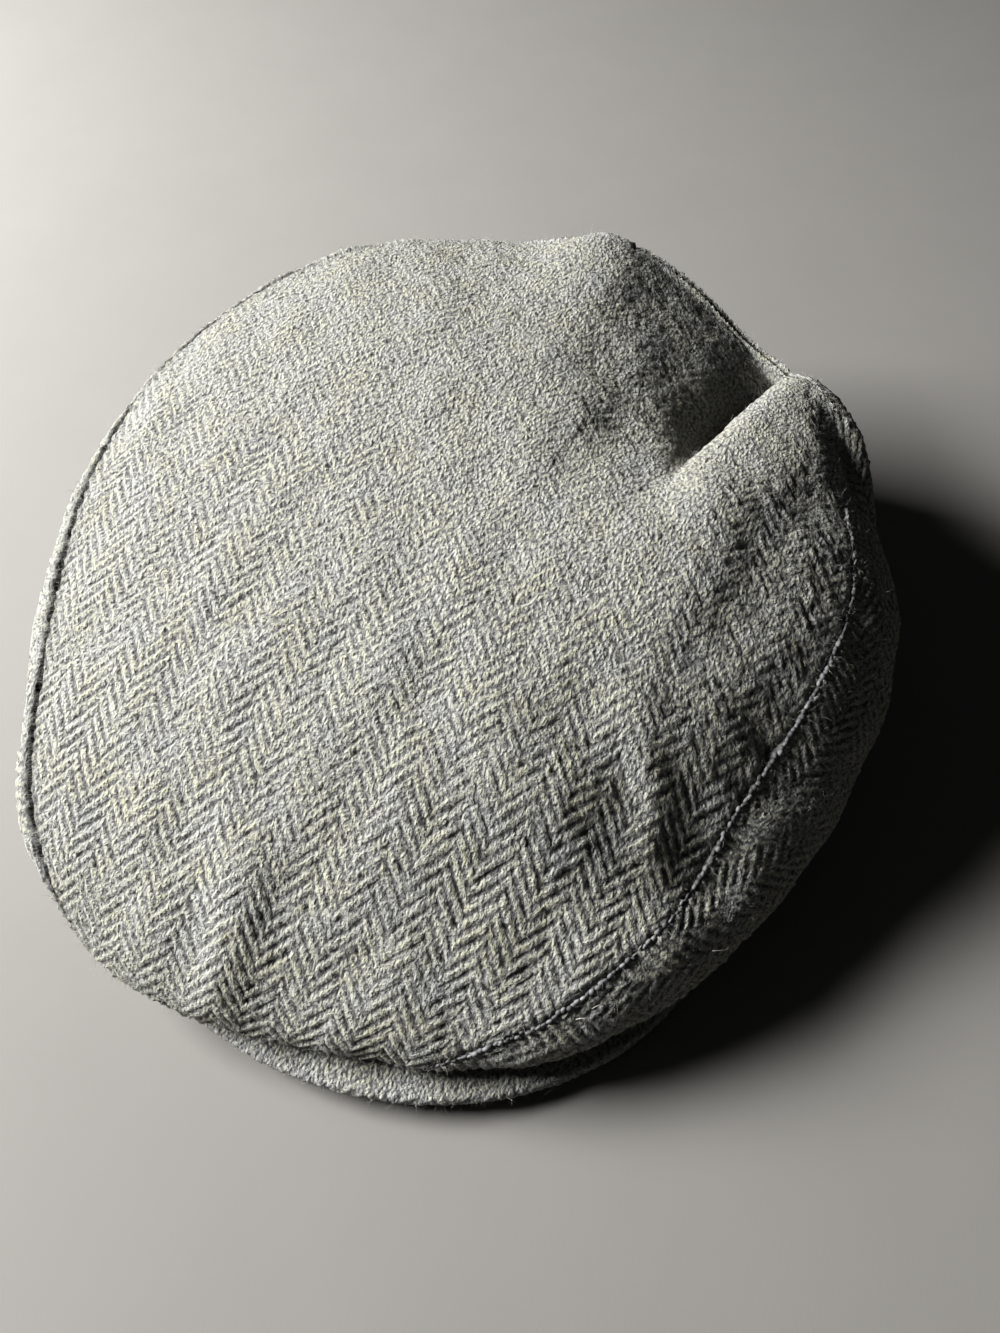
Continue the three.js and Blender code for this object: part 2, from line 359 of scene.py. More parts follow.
@dataclass(frozen=True)
class CrownShape:
    """The crown's face: a dome from its ridge to its widest line, which then turns under to its rim."""

    peak: PeakShape = PeakShape()
    wall: float = 2.2
    rim_half_width: float = 86.0
    rim_half_length: float = 95.0
    rim_middle_y: float = 10.0
    dome_power: float = 2.35
    under_turn: float = 62.0
    fold_fade: float = 0.6
    lift_fade: float = 0.12

    def reach(self, direction: Array) -> Array:
        """Reach of the widest line."""
        return by_direction(CROWN_ROWS, direction)

    def height(self, direction: Array) -> Array:
        """Height of the widest line."""
        return by_direction(CROWN_ROWS, direction, 2)

    def seam(self, direction: Array) -> Array:
        """Way at which the top panel meets the side panels."""
        return by_direction(CROWN_ROWS, direction, 3)

    def folds(self, x: Array, y: Array) -> Array:
        """Depth of all the creases together."""
        return sum(crease.depth(x, y) for crease in CREASES)

    def rim(self, direction: Array, inset: float = 0.0) -> Array:
        """The rim: an ellipse on the floor that climbs over the peak where the peak goes under it.

        Args:
            direction: Degrees about +Z.
            inset: Depth under the outer face.

        Returns:
            Points, with x, y and z on a new last axis.
        """
        turn = np.radians(direction)
        share = self.peak.share(direction)
        over_peak = 1.0 - smooth_step((share - 1.0) / self.lift_fade)
        lift = (self.peak.top(np.minimum(share, 1.0), np.zeros_like(share)) + self.peak.seam_gap) * over_peak
        return np.stack((
            (self.rim_half_width - inset) * np.cos(turn),
            (self.rim_half_length - inset) * np.sin(turn) + self.rim_middle_y,
            lift + inset * np.maximum(0.0, 1.0 - share) * over_peak,
        ), axis=-1)

    def profile(self, way: Array) -> tuple[Array, Array, Array, Array]:
        """The face's section: a power of the sine and of the cosine up to way 1, and then an arc to the rim.

        Args:
            way: 0 at the top to 2 at the rim.

        Returns:
            Shares of the reach, of the ridge's height, and of the ways in and down to the rim.
        """
        quarter = np.minimum(way, 1.0) * np.pi / 2.0
        power = 2.0 / self.dome_power
        full = math.radians(self.under_turn)
        under = np.maximum(way - 1.0, 0.0) * full
        inwards = (1.0 - np.cos(under)) / (1.0 - math.cos(full))
        downwards = np.sin(under) / math.sin(full)
        return np.sin(quarter) ** power, np.maximum(0.0, np.cos(quarter)) ** power, inwards, downwards

    def point(self, direction: Array, way: Array, inset: float = 0.0) -> Array:
        """The face at a direction and a way: the section between the ridge, the widest line and the rim.

        Args:
            direction: Degrees about +Z.
            way: 0 at the top to 2 at the rim.
            inset: Depth under the outer face.

        Returns:
            Points, with x, y and z on a new last axis.
        """
        turn = np.radians(direction)
        outward, dome, inwards, downwards = self.profile(way)
        spread = outward * (self.reach(direction) - inset)
        x, y = spread * np.cos(turn), spread * np.sin(turn)
        ridge = through_rows(RIDGE_ROWS[:, 0], RIDGE_ROWS[:, 1], y) - inset
        z = ridge * dome + self.height(direction) * (1.0 - dome) - self.folds(x, y) * dome**self.fold_fade
        rim = self.rim(direction, inset)
        return np.stack((
            x + (rim[..., 0] - x) * inwards,
            y + (rim[..., 1] - y) * inwards,
            z + (rim[..., 2] - z) * downwards,
        ), axis=-1)

    def normal(self, direction: Array, way: Array) -> Array:
        """Outward unit normals: small steps along the two parameters, crossed.

        Args:
            direction: Degrees about +Z.
            way: 0 at the top to 2 at the rim.

        Returns:
            Normals, with x, y and z on a new last axis.
        """
        turn_step, way_step, least_way = 0.1, 0.002, 0.02
        kept = np.clip(way, least_way, 2.0 - way_step)
        around = self.point(direction + turn_step, kept) - self.point(direction - turn_step, kept)
        down = self.point(direction, kept + way_step) - self.point(direction, kept - way_step)
        return unit(np.cross(down, around))


@dataclass(frozen=True)
class Weave:
    """Two-and-two herringbone twill: each end goes over two picks and under two.

    The step from end to end climbs one pick across a column and falls across the next, with a clean break
    between columns, so that floats line up into slanting strokes.
    """

    end_pitch: float = 0.90
    pick_pitch: float = 1.01
    column_ends: int = 8
    first_column: float = 1.0
    repeat: int = 4
    break_step: float = 5.0
    relief: float = 0.22
    unevenness: float = 0.16
    blobs: float = 0.06

    def ends(self, low: float, high: float) -> Array:
        """Places of the ends between two values across the cloth.

        Args:
            low: The lower value.
            high: The higher value.

        Returns:
            The places, rising.
        """
        start = self.first_column + 0.5 * self.end_pitch
        first, last = (math.floor((value - start) / self.end_pitch) for value in (low, high))
        return start + self.end_pitch * np.arange(first, last + 2)

    def picks(self, low: float, high: float) -> Array:
        """Places of the picks between two values along the cloth."""
        first, last = (math.floor(value / self.pick_pitch) for value in (low, high))
        return self.pick_pitch * np.arange(first, last + 2)

    def place(self, across: Array) -> Array:
        """Number of the nearest end within two columns."""
        return np.mod(np.rint((across - self.first_column) / self.end_pitch - 0.5), 2 * self.column_ends)

    def rise(self, across: Array, along: Array) -> Array:
        """Height of the yarn on the face: a cosine along each end's float, highest in the float's middle.

        Args:
            across: Place across the ends.
            along: Place along the ends.

        Returns:
            Height above the cloth's middle face.
        """
        place = self.place(across)
        step = np.where(place < self.column_ends, -place, place - self.break_step)
        run = along / self.pick_pitch + step - 0.5
        return self.relief * math.sqrt(2.0) * np.cos(2.0 * np.pi * run / self.repeat)

    def falls(self, across: Array) -> Array:
        """True where the strokes fall from end to end, in every second column."""
        return self.place(across) >= self.column_ends

    def lumps(self, shape: tuple[int, ...], seed: int) -> Array:
        """Seeded lumps of felted wool: a height for each crossing, and blobs, a mean of nine neighbours.

        Args:
            shape: Shape of the grid of crossings.
            seed: Seed of the lumps.

        Returns:
            Heights, shaped as asked.
        """
        random = np.random.default_rng(seed)
        fine, coarse = random.normal(size=(2, *shape))
        for axis in (0, 1):
            coarse = (np.roll(coarse, 1, axis) + coarse + np.roll(coarse, -1, axis)) / math.sqrt(3.0)
        return self.unevenness * fine + self.blobs * coarse


@dataclass(frozen=True)
class IslandPlan:
    """Where a panel's faces lie on its bake map: left, bottom, width and height of each rectangle."""

    outer: Rectangle
    inner: Rectangle
    edges: Rectangle
    edge_columns: int


SQUARE_PLAN = IslandPlan(
    outer=(0.005, 0.005, 0.87, 0.99),
    inner=(0.885, 0.005, 0.11, 0.2),
    edges=(0.885, 0.22, 0.11, 0.77),
    edge_columns=20,
)
WIDE_PLAN = IslandPlan(
    outer=(0.005, 0.005, 0.99, 0.45),
    inner=(0.005, 0.465, 0.99, 0.45),
    edges=(0.005, 0.925, 0.99, 0.07),
    edge_columns=160,
)


def fitted(flat: Array, low: Array, high: Array, rectangle: Rectangle) -> Array:
    """Flat places scaled, alike both ways, into a rectangle of the bake map.

    Args:
        flat: The places.
        low: Their least values.
        high: Their greatest values.
        rectangle: Left, bottom, width and height.

    Returns:
        Places on the bake map, shaped as `flat`.
    """
    left, bottom, width, height = rectangle
    scale = min(width / (high[0] - low[0]), height / (high[1] - low[1]))
    return np.array((left, bottom)) + (flat - low) * scale


def cell_corners(count: int, rectangle: Rectangle, columns: int, corners: Array) -> Array:
    """Corner places of many small cells that fill a rectangle of the bake map row by row.

    Args:
        count: How many cells.
        rectangle: Left, bottom, width and height.
        columns: Cells in a row.
        corners: The pattern that each cell repeats, within 0 to 1.

    Returns:
        Places, shaped count, then as `corners`.
    """
    left, bottom, width, height = rectangle
    rows = math.ceil(count / columns)
    row, column = np.divmod(np.arange(count), columns)
    corner = np.stack((left + column * width / columns, bottom + row * height / rows), axis=-1)
    size = np.array((width / columns, height / rows))
    return corner.reshape((count,) + (1,) * (corners.ndim - 1) + (2,)) + corners * size


def linked(name: str, data: bpy.types.ID) -> bpy.types.Object:
    """A new object in the scene.

    Args:
        name: The object's name.
        data: Its mesh, light or camera.

    Returns:
        The object.
    """
    made = bpy.data.objects.new(name, data)
    bpy.context.scene.collection.objects.link(made)
    return made


@dataclass
class MeshPlan:
    """Vertices in millimetres, groups of faces with equal corner counts, and what each of them carries."""

    vertices: Array
    faces: list[Array]
    corner_maps: dict[str, list[Array]]
    vertex_values: dict[str, Array] = field(default_factory=dict)

    def object(self, name: str, sharp_angle: float, merge: float = 0.0) -> bpy.types.Object:
        """Makes the object, with its maps and values, in the row frame.

        Args:
            name: The object's name.
            sharp_angle: Degrees between faces past which their edge stays sharp.
            merge: Millimetres under which vertices are merged, or 0 for none.

        Returns:
            The new object, linked to the scene.
        """
        mesh = bpy.data.meshes.new(name)
        corners = np.concatenate([group.ravel() for group in self.faces])
        counts = np.concatenate([np.full(len(group), group.shape[1]) for group in self.faces])
        starts = np.concatenate(([0], np.cumsum(counts)[:-1]))
        mesh.vertices.add(len(self.vertices))
        mesh.vertices.foreach_set("co", to_row(self.vertices).astype(np.float32).ravel())
        mesh.loops.add(len(corners))
        mesh.loops.foreach_set("vertex_index", corners.astype(np.int32))
        mesh.polygons.add(len(counts))
        mesh.polygons.foreach_set("loop_start", starts.astype(np.int32))
        for map_name, groups in self.corner_maps.items():
            layer = mesh.uv_layers.new(name=map_name)
            places = np.concatenate([group.reshape(-1, 2) for group in groups])
            layer.data.foreach_set("uv", places.astype(np.float32).ravel())
        for value_name, values in self.vertex_values.items():
            attribute = mesh.attributes.new(value_name, "FLOAT", "POINT")
            attribute.data.foreach_set("value", values.astype(np.float32))
        mesh.update(calc_edges=True)
        if merge:
            built = bmesh.new()
            built.from_mesh(mesh)
            bmesh.ops.remove_doubles(built, verts=built.verts, dist=merge * MM)
            built.to_mesh(mesh)
            built.free()
        mesh.polygons.foreach_set("use_smooth", np.ones(len(mesh.polygons), dtype=bool))
        mesh.set_sharp_from_angle(angle=math.radians(sharp_angle))
        mesh.update()
        return linked(name, mesh)


@dataclass
class ClothGrid:
    """A panel as a grid of yarn crossings, with columns to the right and rows upwards as seen from outside.

    Crossings outside the cut are moved to its edge, so that the cells there end on the seam.
    """

    outer: Array
    inner: Array
    normals: Array
    inside: Array
    falling: Array
    flat: Array
    weave: Array
    values: dict[str, Array]

    def cells(self) -> Array:
        """The cells that have a crossing inside the cut.

        Returns:
            Four crossings' numbers for each, the first and third along the weave's stroke, so that the cell
            is split into triangles along it.
        """
        corners = quad_corners(np.arange(self.inside.size).reshape(self.inside.shape))
        corners = np.where(self.falling[:-1, :-1, None], np.roll(corners, 1, axis=-1), corners)
        return corners[quad_corners(self.inside).any(axis=-1)]

    def wall(self, plan: IslandPlan) -> MeshPlan:
        """The panel as a closed wall: the outer face, the inner face turned over, and strips along the cut.

        Args:
            plan: Where the faces lie on the bake map.

        Returns:
            The wall's mesh plan.
        """
        cells = self.cells()
        used, cells = np.unique(cells, return_inverse=True)
        cells = cells.reshape(-1, 4)
        count = len(used)
        starts, stops = cells.ravel(), np.roll(cells, -1, axis=1).ravel()
        open_edge = ~np.isin(starts * count + stops, stops * count + starts)
        start, stop = starts[open_edge], stops[open_edge]
        strips = np.stack((stop, start, start + count, stop + count), axis=-1)
        under = cells[:, ::-1]
        flat = self.flat.reshape(-1, 2)[used]
        low, high = flat.min(axis=0), flat.max(axis=0)
        weave = np.tile(self.weave.reshape(-1, 2)[used], (2, 1))
        bake = [
            fitted(flat, low, high, plan.outer)[cells],
            fitted(flat, low, high, plan.inner)[under],
            cell_corners(len(strips), plan.edges, plan.edge_columns, CELL_CORNERS),
        ]
        return MeshPlan(
            np.concatenate((self.outer.reshape(-1, 3)[used], self.inner.reshape(-1, 3)[used])),
            [cells, under + count, strips],
            {WEAVE_MAP: [weave[cells], weave[under], weave[strips]], BAKE_MAP: bake},
            {name: np.tile(value.ravel()[used], 2) for name, value in self.values.items()},
        )

    def flat_area(self) -> float:
        """Area of the flat cut: the sum of the cells whose corners all lie inside, as parallelograms.

        Returns:
            Square millimetres.
        """
        whole = quad_corners(self.inside).all(axis=-1)
        across = self.flat[:-1, 1:] - self.flat[:-1, :-1]
        up = self.flat[1:, :-1] - self.flat[:-1, :-1]
        return float(np.abs(across[..., 0] * up[..., 1] - across[..., 1] * up[..., 0])[whole].sum())

    def flat_size(self) -> Pair:
        """Width and length of the flat cut in metres."""
        size = np.ptp(self.flat[self.inside], axis=0) * MM
        return float(size[0]), float(size[1])

    def face(self) -> tuple[Array, Array, Array]:
        """Points of the outer face inside the cut, their normals and their wear."""
        return self.outer[self.inside], self.normals[self.inside], self.values[WEAR][self.inside]


@dataclass(frozen=True)
class SeamCurl:
    """How cloth rolls under at a sewn edge, with an uneven depth from the pull of the stitches."""

    depth: float = 0.55
    width: float = 1.5
    bulge: float = 0.1
    bulge_width: float = 1.3

    def drop(self, distance: Array, pull: Array) -> Array:
        """Drop at a distance from the edge: a parabola to the edge, less a small round bulge just before it.

        Args:
            distance: Millimetres from the edge.
            pull: How hard the stitches pull there, about 1.

        Returns:
            Depth under the plain face.
        """
        edge = np.maximum(0.0, 1.0 - distance / self.width)
        round_bulge = np.exp(-(((distance - self.width) / self.bulge_width) ** 2))
        return self.depth * pull * edge**2 - self.bulge * pull * round_bulge


# How hard the seam pulls the cloth in: direction, pull; slack over the two ears, tight at the sides
PULL_ROWS = np.array((
    (0, 1.0), (25, 0.7), (45, 0.2), (60, 0.1), (110, 0.1), (130, 0.6), (150, 1.5), (165, 1.8), (215, 1.8),
    (235, 1.4), (250, 0.9), (290, 0.9), (320, 1.1), (340, 1.1),
))


def seam_pull(direction: Array, seed: int) -> Array:
    """Pull of the stitches along a seam: a smooth table with uneven waves of 3 to 10 degrees over it."""
    uneven = soft_waves(direction, np.zeros_like(direction), shortest=3.0, longest=10.0, count=5, seed=seed)
    return by_direction(PULL_ROWS, direction) * (1.0 + PULL_UNEVENNESS * uneven)


# How far the seam's crevice gapes, and how much painted shade it gets: direction, share
CREVICE_ROWS = np.array((
    (0, 0.1), (40, 0), (110, 0), (132, 0.3), (148, 1), (232, 1), (246, 0.5), (262, 0.2), (330, 0.2),
))


def openness(direction: Array) -> Array:
    """How far the seam gapes and takes painted shade, up to about 1: a table with waves of 1 to 4 degrees
    over it.
    """
    uneven = soft_waves(direction, np.zeros_like(direction), shortest=1.0, longest=4.0, count=6, seed=31)
    return np.maximum(0.0, by_direction(CREVICE_ROWS, direction) * (1.0 + GAPE_UNEVENNESS * uneven))


def half_gap(direction: Array) -> Array:
    """Half the seam's gap: as in the solids, and wider where the seam gapes."""
    return SOLID_GAP / 2.0 + WIDEST_GAPE * openness(direction)


def crevice_shade(direction: Array, distance: Array) -> Array:
    """Share of painted shade in a seam's gap, where shadow falls; it dies away exponentially from the edge.
    """
    return np.minimum(1.0, openness(direction) * np.exp(-distance / CREVICE_SHADE_WIDTH))


@dataclass(frozen=True)
class Pucker:
    """A small pit where the seam gathers the top panel."""

    direction: float
    half_turn: float
    depth: float
    width: float

    def drop(self, direction: Array, distance: Array) -> Array:
        """Depth of the pit: a bell along the seam times a bell in from it."""
        turn = np.mod(direction - self.direction + 180.0, 360.0) - 180.0
        return self.depth * np.exp(-((turn / self.half_turn) ** 2) - (distance / self.width) ** 2)


PUCKERS = (Pucker(351.0, 1.7, 1.7, 4.0), Pucker(343.5, 2.4, 0.9, 7.0), Pucker(334.0, 2.0, 0.5, 5.0))


@dataclass
class TopPanel:
    """The top panel, one piece of cloth over the dome, cut along its curved seam.

    Its flat cut comes from rolling out a typical section of the dome, part plan length and part arc length.
    """

    crown: CrownShape
    weave: Weave
    curl: SeamCurl = SeamCurl()
    name: str = "top_panel_tweed"
    node: str = "top_panel"
    slot: str = "tweed_top"
    turn: float = 1.0
    arc_part: float = 0.6
    section_samples: int = 801
    section_reach: float = 120.0
    section_rise: float = 45.0
    section_tuck: float = 28.0
    section_drop: float = 14.0
    half_span: float = 165.0
    waves: float = 0.28
    wave_lengths: Pair = (11.0, 34.0)
    felted: float = 0.4
    crisp_start: float = 40.0
    crisp_lean: float = 0.3
    crisp_length: float = 110.0
    taut: float = 0.6
    taut_depth: float = 10.0
    # Painted shade: how dark the dent's slot is drawn at its deepest, and the puckers' pits near the seam
    slot_painted_shade: float = 0.9
    pit_painted_shade: float = 0.5
    pit_painted_shade_width: float = 1.5

    def section(self) -> tuple[Array, Array]:
        """A typical section of the dome rolled out flat: a mix of its plan length and its arc length.

        Returns:
            Ways along it, and the flat radius there as a share of the reach.
        """
        ways = np.linspace(0.0, 2.0, self.section_samples)
        outward, dome, inwards, downwards = self.crown.profile(ways)
        plan = outward * self.section_reach - inwards * self.section_tuck
        rise = dome * self.section_rise - downwards * self.section_drop
        steps = np.stack((np.diff(plan), np.diff(rise)))
        plan_length = np.concatenate(([0.0], np.cumsum(np.abs(steps[0]))))
        arc_length = np.concatenate(([0.0], np.cumsum(np.hypot(*steps))))
        mixed = (1.0 - self.arc_part) * plan_length + self.arc_part * arc_length
        return ways, mixed / self.section_reach

    def grid(self) -> ClothGrid:
        """The crossings: flat places turned to directions and ways, and raised by the weave's floats.

        Returns:
            The panel's grid.
        """
        ways, shares = self.section()
        span = (-self.half_span, self.half_span)
        across, along = np.meshgrid(self.weave.ends(*span), self.weave.picks(*span))
        turn = math.radians(self.turn)
        flat_x = across * math.cos(turn) - along * math.sin(turn)
        flat_y = across * math.sin(turn) + along * math.cos(turn)
        direction = np.degrees(np.arctan2(flat_y, flat_x))
        radius = np.hypot(flat_x, flat_y)
        reach = self.crown.reach(direction)
        edge = np.interp(self.crown.seam(direction), ways, shares) * reach - half_gap(direction)
        inside = radius <= edge
        kept = np.minimum(radius, edge)
        shrink = (kept / np.maximum(radius, 1e-9))[..., None]
        way = np.interp(kept / reach, shares, ways)
        points = self.crown.point(direction, way)
        normals = self.crown.normal(direction, way)
        distance = edge - kept
        forward = (self.crisp_start - flat_y - self.crisp_lean * flat_x) / self.crisp_length
        crisp = self.felted + (1.0 - self.felted) * smooth_step(forward)
        x, y = points[..., 0], points[..., 1]
        hollow = DENT.depth(x, y) + EAR.depth(x, y)
        crisp = crisp * (1.0 - self.taut * smooth_step(hollow / self.taut_depth))
        pull = seam_pull(direction, seed=5)
        pits = sum(pucker.drop(direction, distance) for pucker in PUCKERS)
        # Painted shade in the slot's depth, in the seam's crevice and in the puckers' pits
        fold = self.slot_painted_shade * SLOT.depth(x, y) / SLOT.deepest
        painted_shade = crevice_shade(direction, distance) + self.pit_painted_shade * pits * np.exp(-distance / self.pit_painted_shade_width)
        lift = (
            self.weave.rise(across, along) * crisp
            + self.weave.lumps(across.shape, seed=2)
            + self.waves * soft_waves(flat_x, flat_y, *self.wave_lengths, count=9, seed=3)
            - self.curl.drop(distance, pull)
            - pits
        )
        weave = np.stack((across, along), axis=-1) * shrink
        return ClothGrid(
            outer=points + normals * lift[..., None],
            inner=self.crown.point(direction, way, self.crown.wall),
            normals=normals,
            inside=inside,
            falling=self.weave.falls(across),
            flat=weave,
            weave=weave,
            values={
                WEAR: np.exp(-distance / EDGE_WEAR_WIDTH),
                CRISP: crisp,
                CREVICE_SHADE: np.minimum(1.0, painted_shade + fold),
            },
        )


class Side(Enum):
    """The wearer's sides."""

    LEFT = "left"
    RIGHT = "right"


@dataclass
class SidePanel:
    """A side panel, a curved band between the rim and the top panel's seam, whose columns run along it.

    Its flat cut is part of a ring: the direction becomes an angle about the ring's middle, and the length up
    the face from the rim becomes the distance beyond the ring's inner radius.
    """

    crown: CrownShape
    weave: Weave
    side: Side
    curl: SeamCurl = SeamCurl(depth=0.3, width=1.0, bulge=0.1, bulge_width=1.0)
    slot: str = "tweed_side"
    ring_radius: float = 173.0
    angle_share: float = 0.52
    straight_offset: float = -20.0
    join_turn: float = 0.1
    join_depth: float = 0.8
    join_width: float = 2.2
    margin: float = 2.0
    direction_samples: int = 185
    way_samples: int = 161
    length_step: float = 0.5
    waves: float = 0.3
    wave_lengths: Pair = (10.0, 32.0)
    rim_soft_width: float = 6.0
    rim_wear: float = 0.6
    rim_wear_width: float = 2.0
    most_pull: float = 1.3
    crisp: float = 0.6

    @property
    def node(self) -> str:
        """The solid that the panel stands for."""
        return f"side_panel_{self.side.value}"

    @property
    def name(self) -> str:
        """The object's name."""
        return f"{self.node}_tweed"

    @property
    def limits(self) -> Pair:
        """First and last direction of the panel."""
        return (-90.0, 90.0) if self.side is Side.LEFT else (90.0, 270.0)

    @property
    def straight(self) -> float:
        """Direction at which the columns run level with the rim."""
        return self.straight_offset if self.side is Side.LEFT else 180.0 - self.straight_offset

    def lengths(self) -> tuple[Array, Array, Array, Array]:
        """Lengths up the face from the rim.

        Returns:
            Directions, lengths, the way at each pair of these, and the whole length to the seam by direction.
        """
        first, last = self.limits
        directions = np.linspace(first - self.margin, last + self.margin, self.direction_samples)
        share = np.linspace(0.0, 1.0, self.way_samples)
        seam = self.crown.seam(directions)
        ways = 2.0 + (seam[:, None] - 2.0) * share
        points = self.crown.point(np.broadcast_to(directions[:, None], ways.shape), ways)
        steps = np.linalg.norm(np.diff(points, axis=1), axis=-1)
        run = np.concatenate((np.zeros((len(directions), 1)), np.cumsum(steps, axis=1)), axis=1)
        lengths = np.arange(0.0, run[:, -1].max() + 1.0, self.length_step)
        table = np.stack([np.interp(lengths, row_run, row_ways) for row_run, row_ways in zip(run, ways)])
        return directions, lengths, table, run[:, -1]

    def grid(self) -> ClothGrid:
        """The crossings: flat places turned to directions and lengths up the face, raised by the floats.

        Returns:
            The panel's grid.
        """
        directions, lengths, table, whole = self.lengths()
        first, last = self.limits
        angles = np.radians(np.array((first, last)) - self.straight) * self.angle_share
        outer_radius = self.ring_radius + whole.max()
        low_u, high_u = outer_radius * np.sin(angles)
        low_v = self.ring_radius * np.cos(angles).min() - self.ring_radius
        along, across = np.meshgrid(
            self.weave.picks(low_u - self.margin, high_u + self.margin),
            self.weave.ends(low_v - self.margin, whole.max() + self.margin),
        )
        radius = np.hypot(along, across + self.ring_radius)
        angle = np.arctan2(along, across + self.ring_radius)
        direction = self.straight + np.degrees(angle) / self.angle_share
        length = radius - self.ring_radius
        held = np.clip(direction, first + self.join_turn, last - self.join_turn)
        top = np.interp(held, directions, whole) - half_gap(held)
        inside = (direction == held) & (length >= 0.0) & (length <= top)
        kept = np.clip(length, 0.0, top)
        way = looked_up(table, directions, lengths, held, kept)
        points = self.crown.point(held, way)
        normals = self.crown.normal(held, way)
        join_turn = np.radians(np.minimum(held - first, last - held))
        join = join_turn * np.hypot(points[..., 0], points[..., 1])
        rim_soft = smooth_step(kept / self.rim_soft_width)
        pull = seam_pull(held, SIDE_PULL_SEED)
        lift = (
            self.weave.rise(across, along) * self.crisp
            + self.weave.lumps(across.shape, seed=9)
            + self.waves * soft_waves(along, across, *self.wave_lengths, count=9, seed=11) * rim_soft
            - self.curl.drop(top - kept, np.minimum(pull, self.most_pull))
            - self.join_depth * np.maximum(0.0, 1.0 - join / self.join_width) ** 2
        )
        flat_angle = np.radians(held - self.straight) * self.angle_share
        flat_radius = self.ring_radius + kept
        flat_along = flat_radius * np.sin(flat_angle)
        flat_across = flat_radius * np.cos(flat_angle) - self.ring_radius
        outer = points + normals * lift[..., None]
        outer[..., 2] = np.maximum(outer[..., 2], ABOVE_FLOOR)
        rim_wear = self.rim_wear * np.exp(-kept / self.rim_wear_width)
        return ClothGrid(
            outer=outer,
            inner=self.crown.point(held, way, self.crown.wall),
            normals=normals,
            inside=inside,
            falling=self.weave.falls(across),
            flat=np.stack((flat_along, flat_across), axis=-1),
            weave=np.stack((flat_across, flat_along), axis=-1),
            values={
                WEAR: np.maximum(np.exp(-(top - kept) / EDGE_WEAR_WIDTH), rim_wear),
                CRISP: np.full_like(kept, self.crisp),
                # Painted shade in the seam's crevice
                CREVICE_SHADE: crevice_shade(held, top - kept),
            },
        )


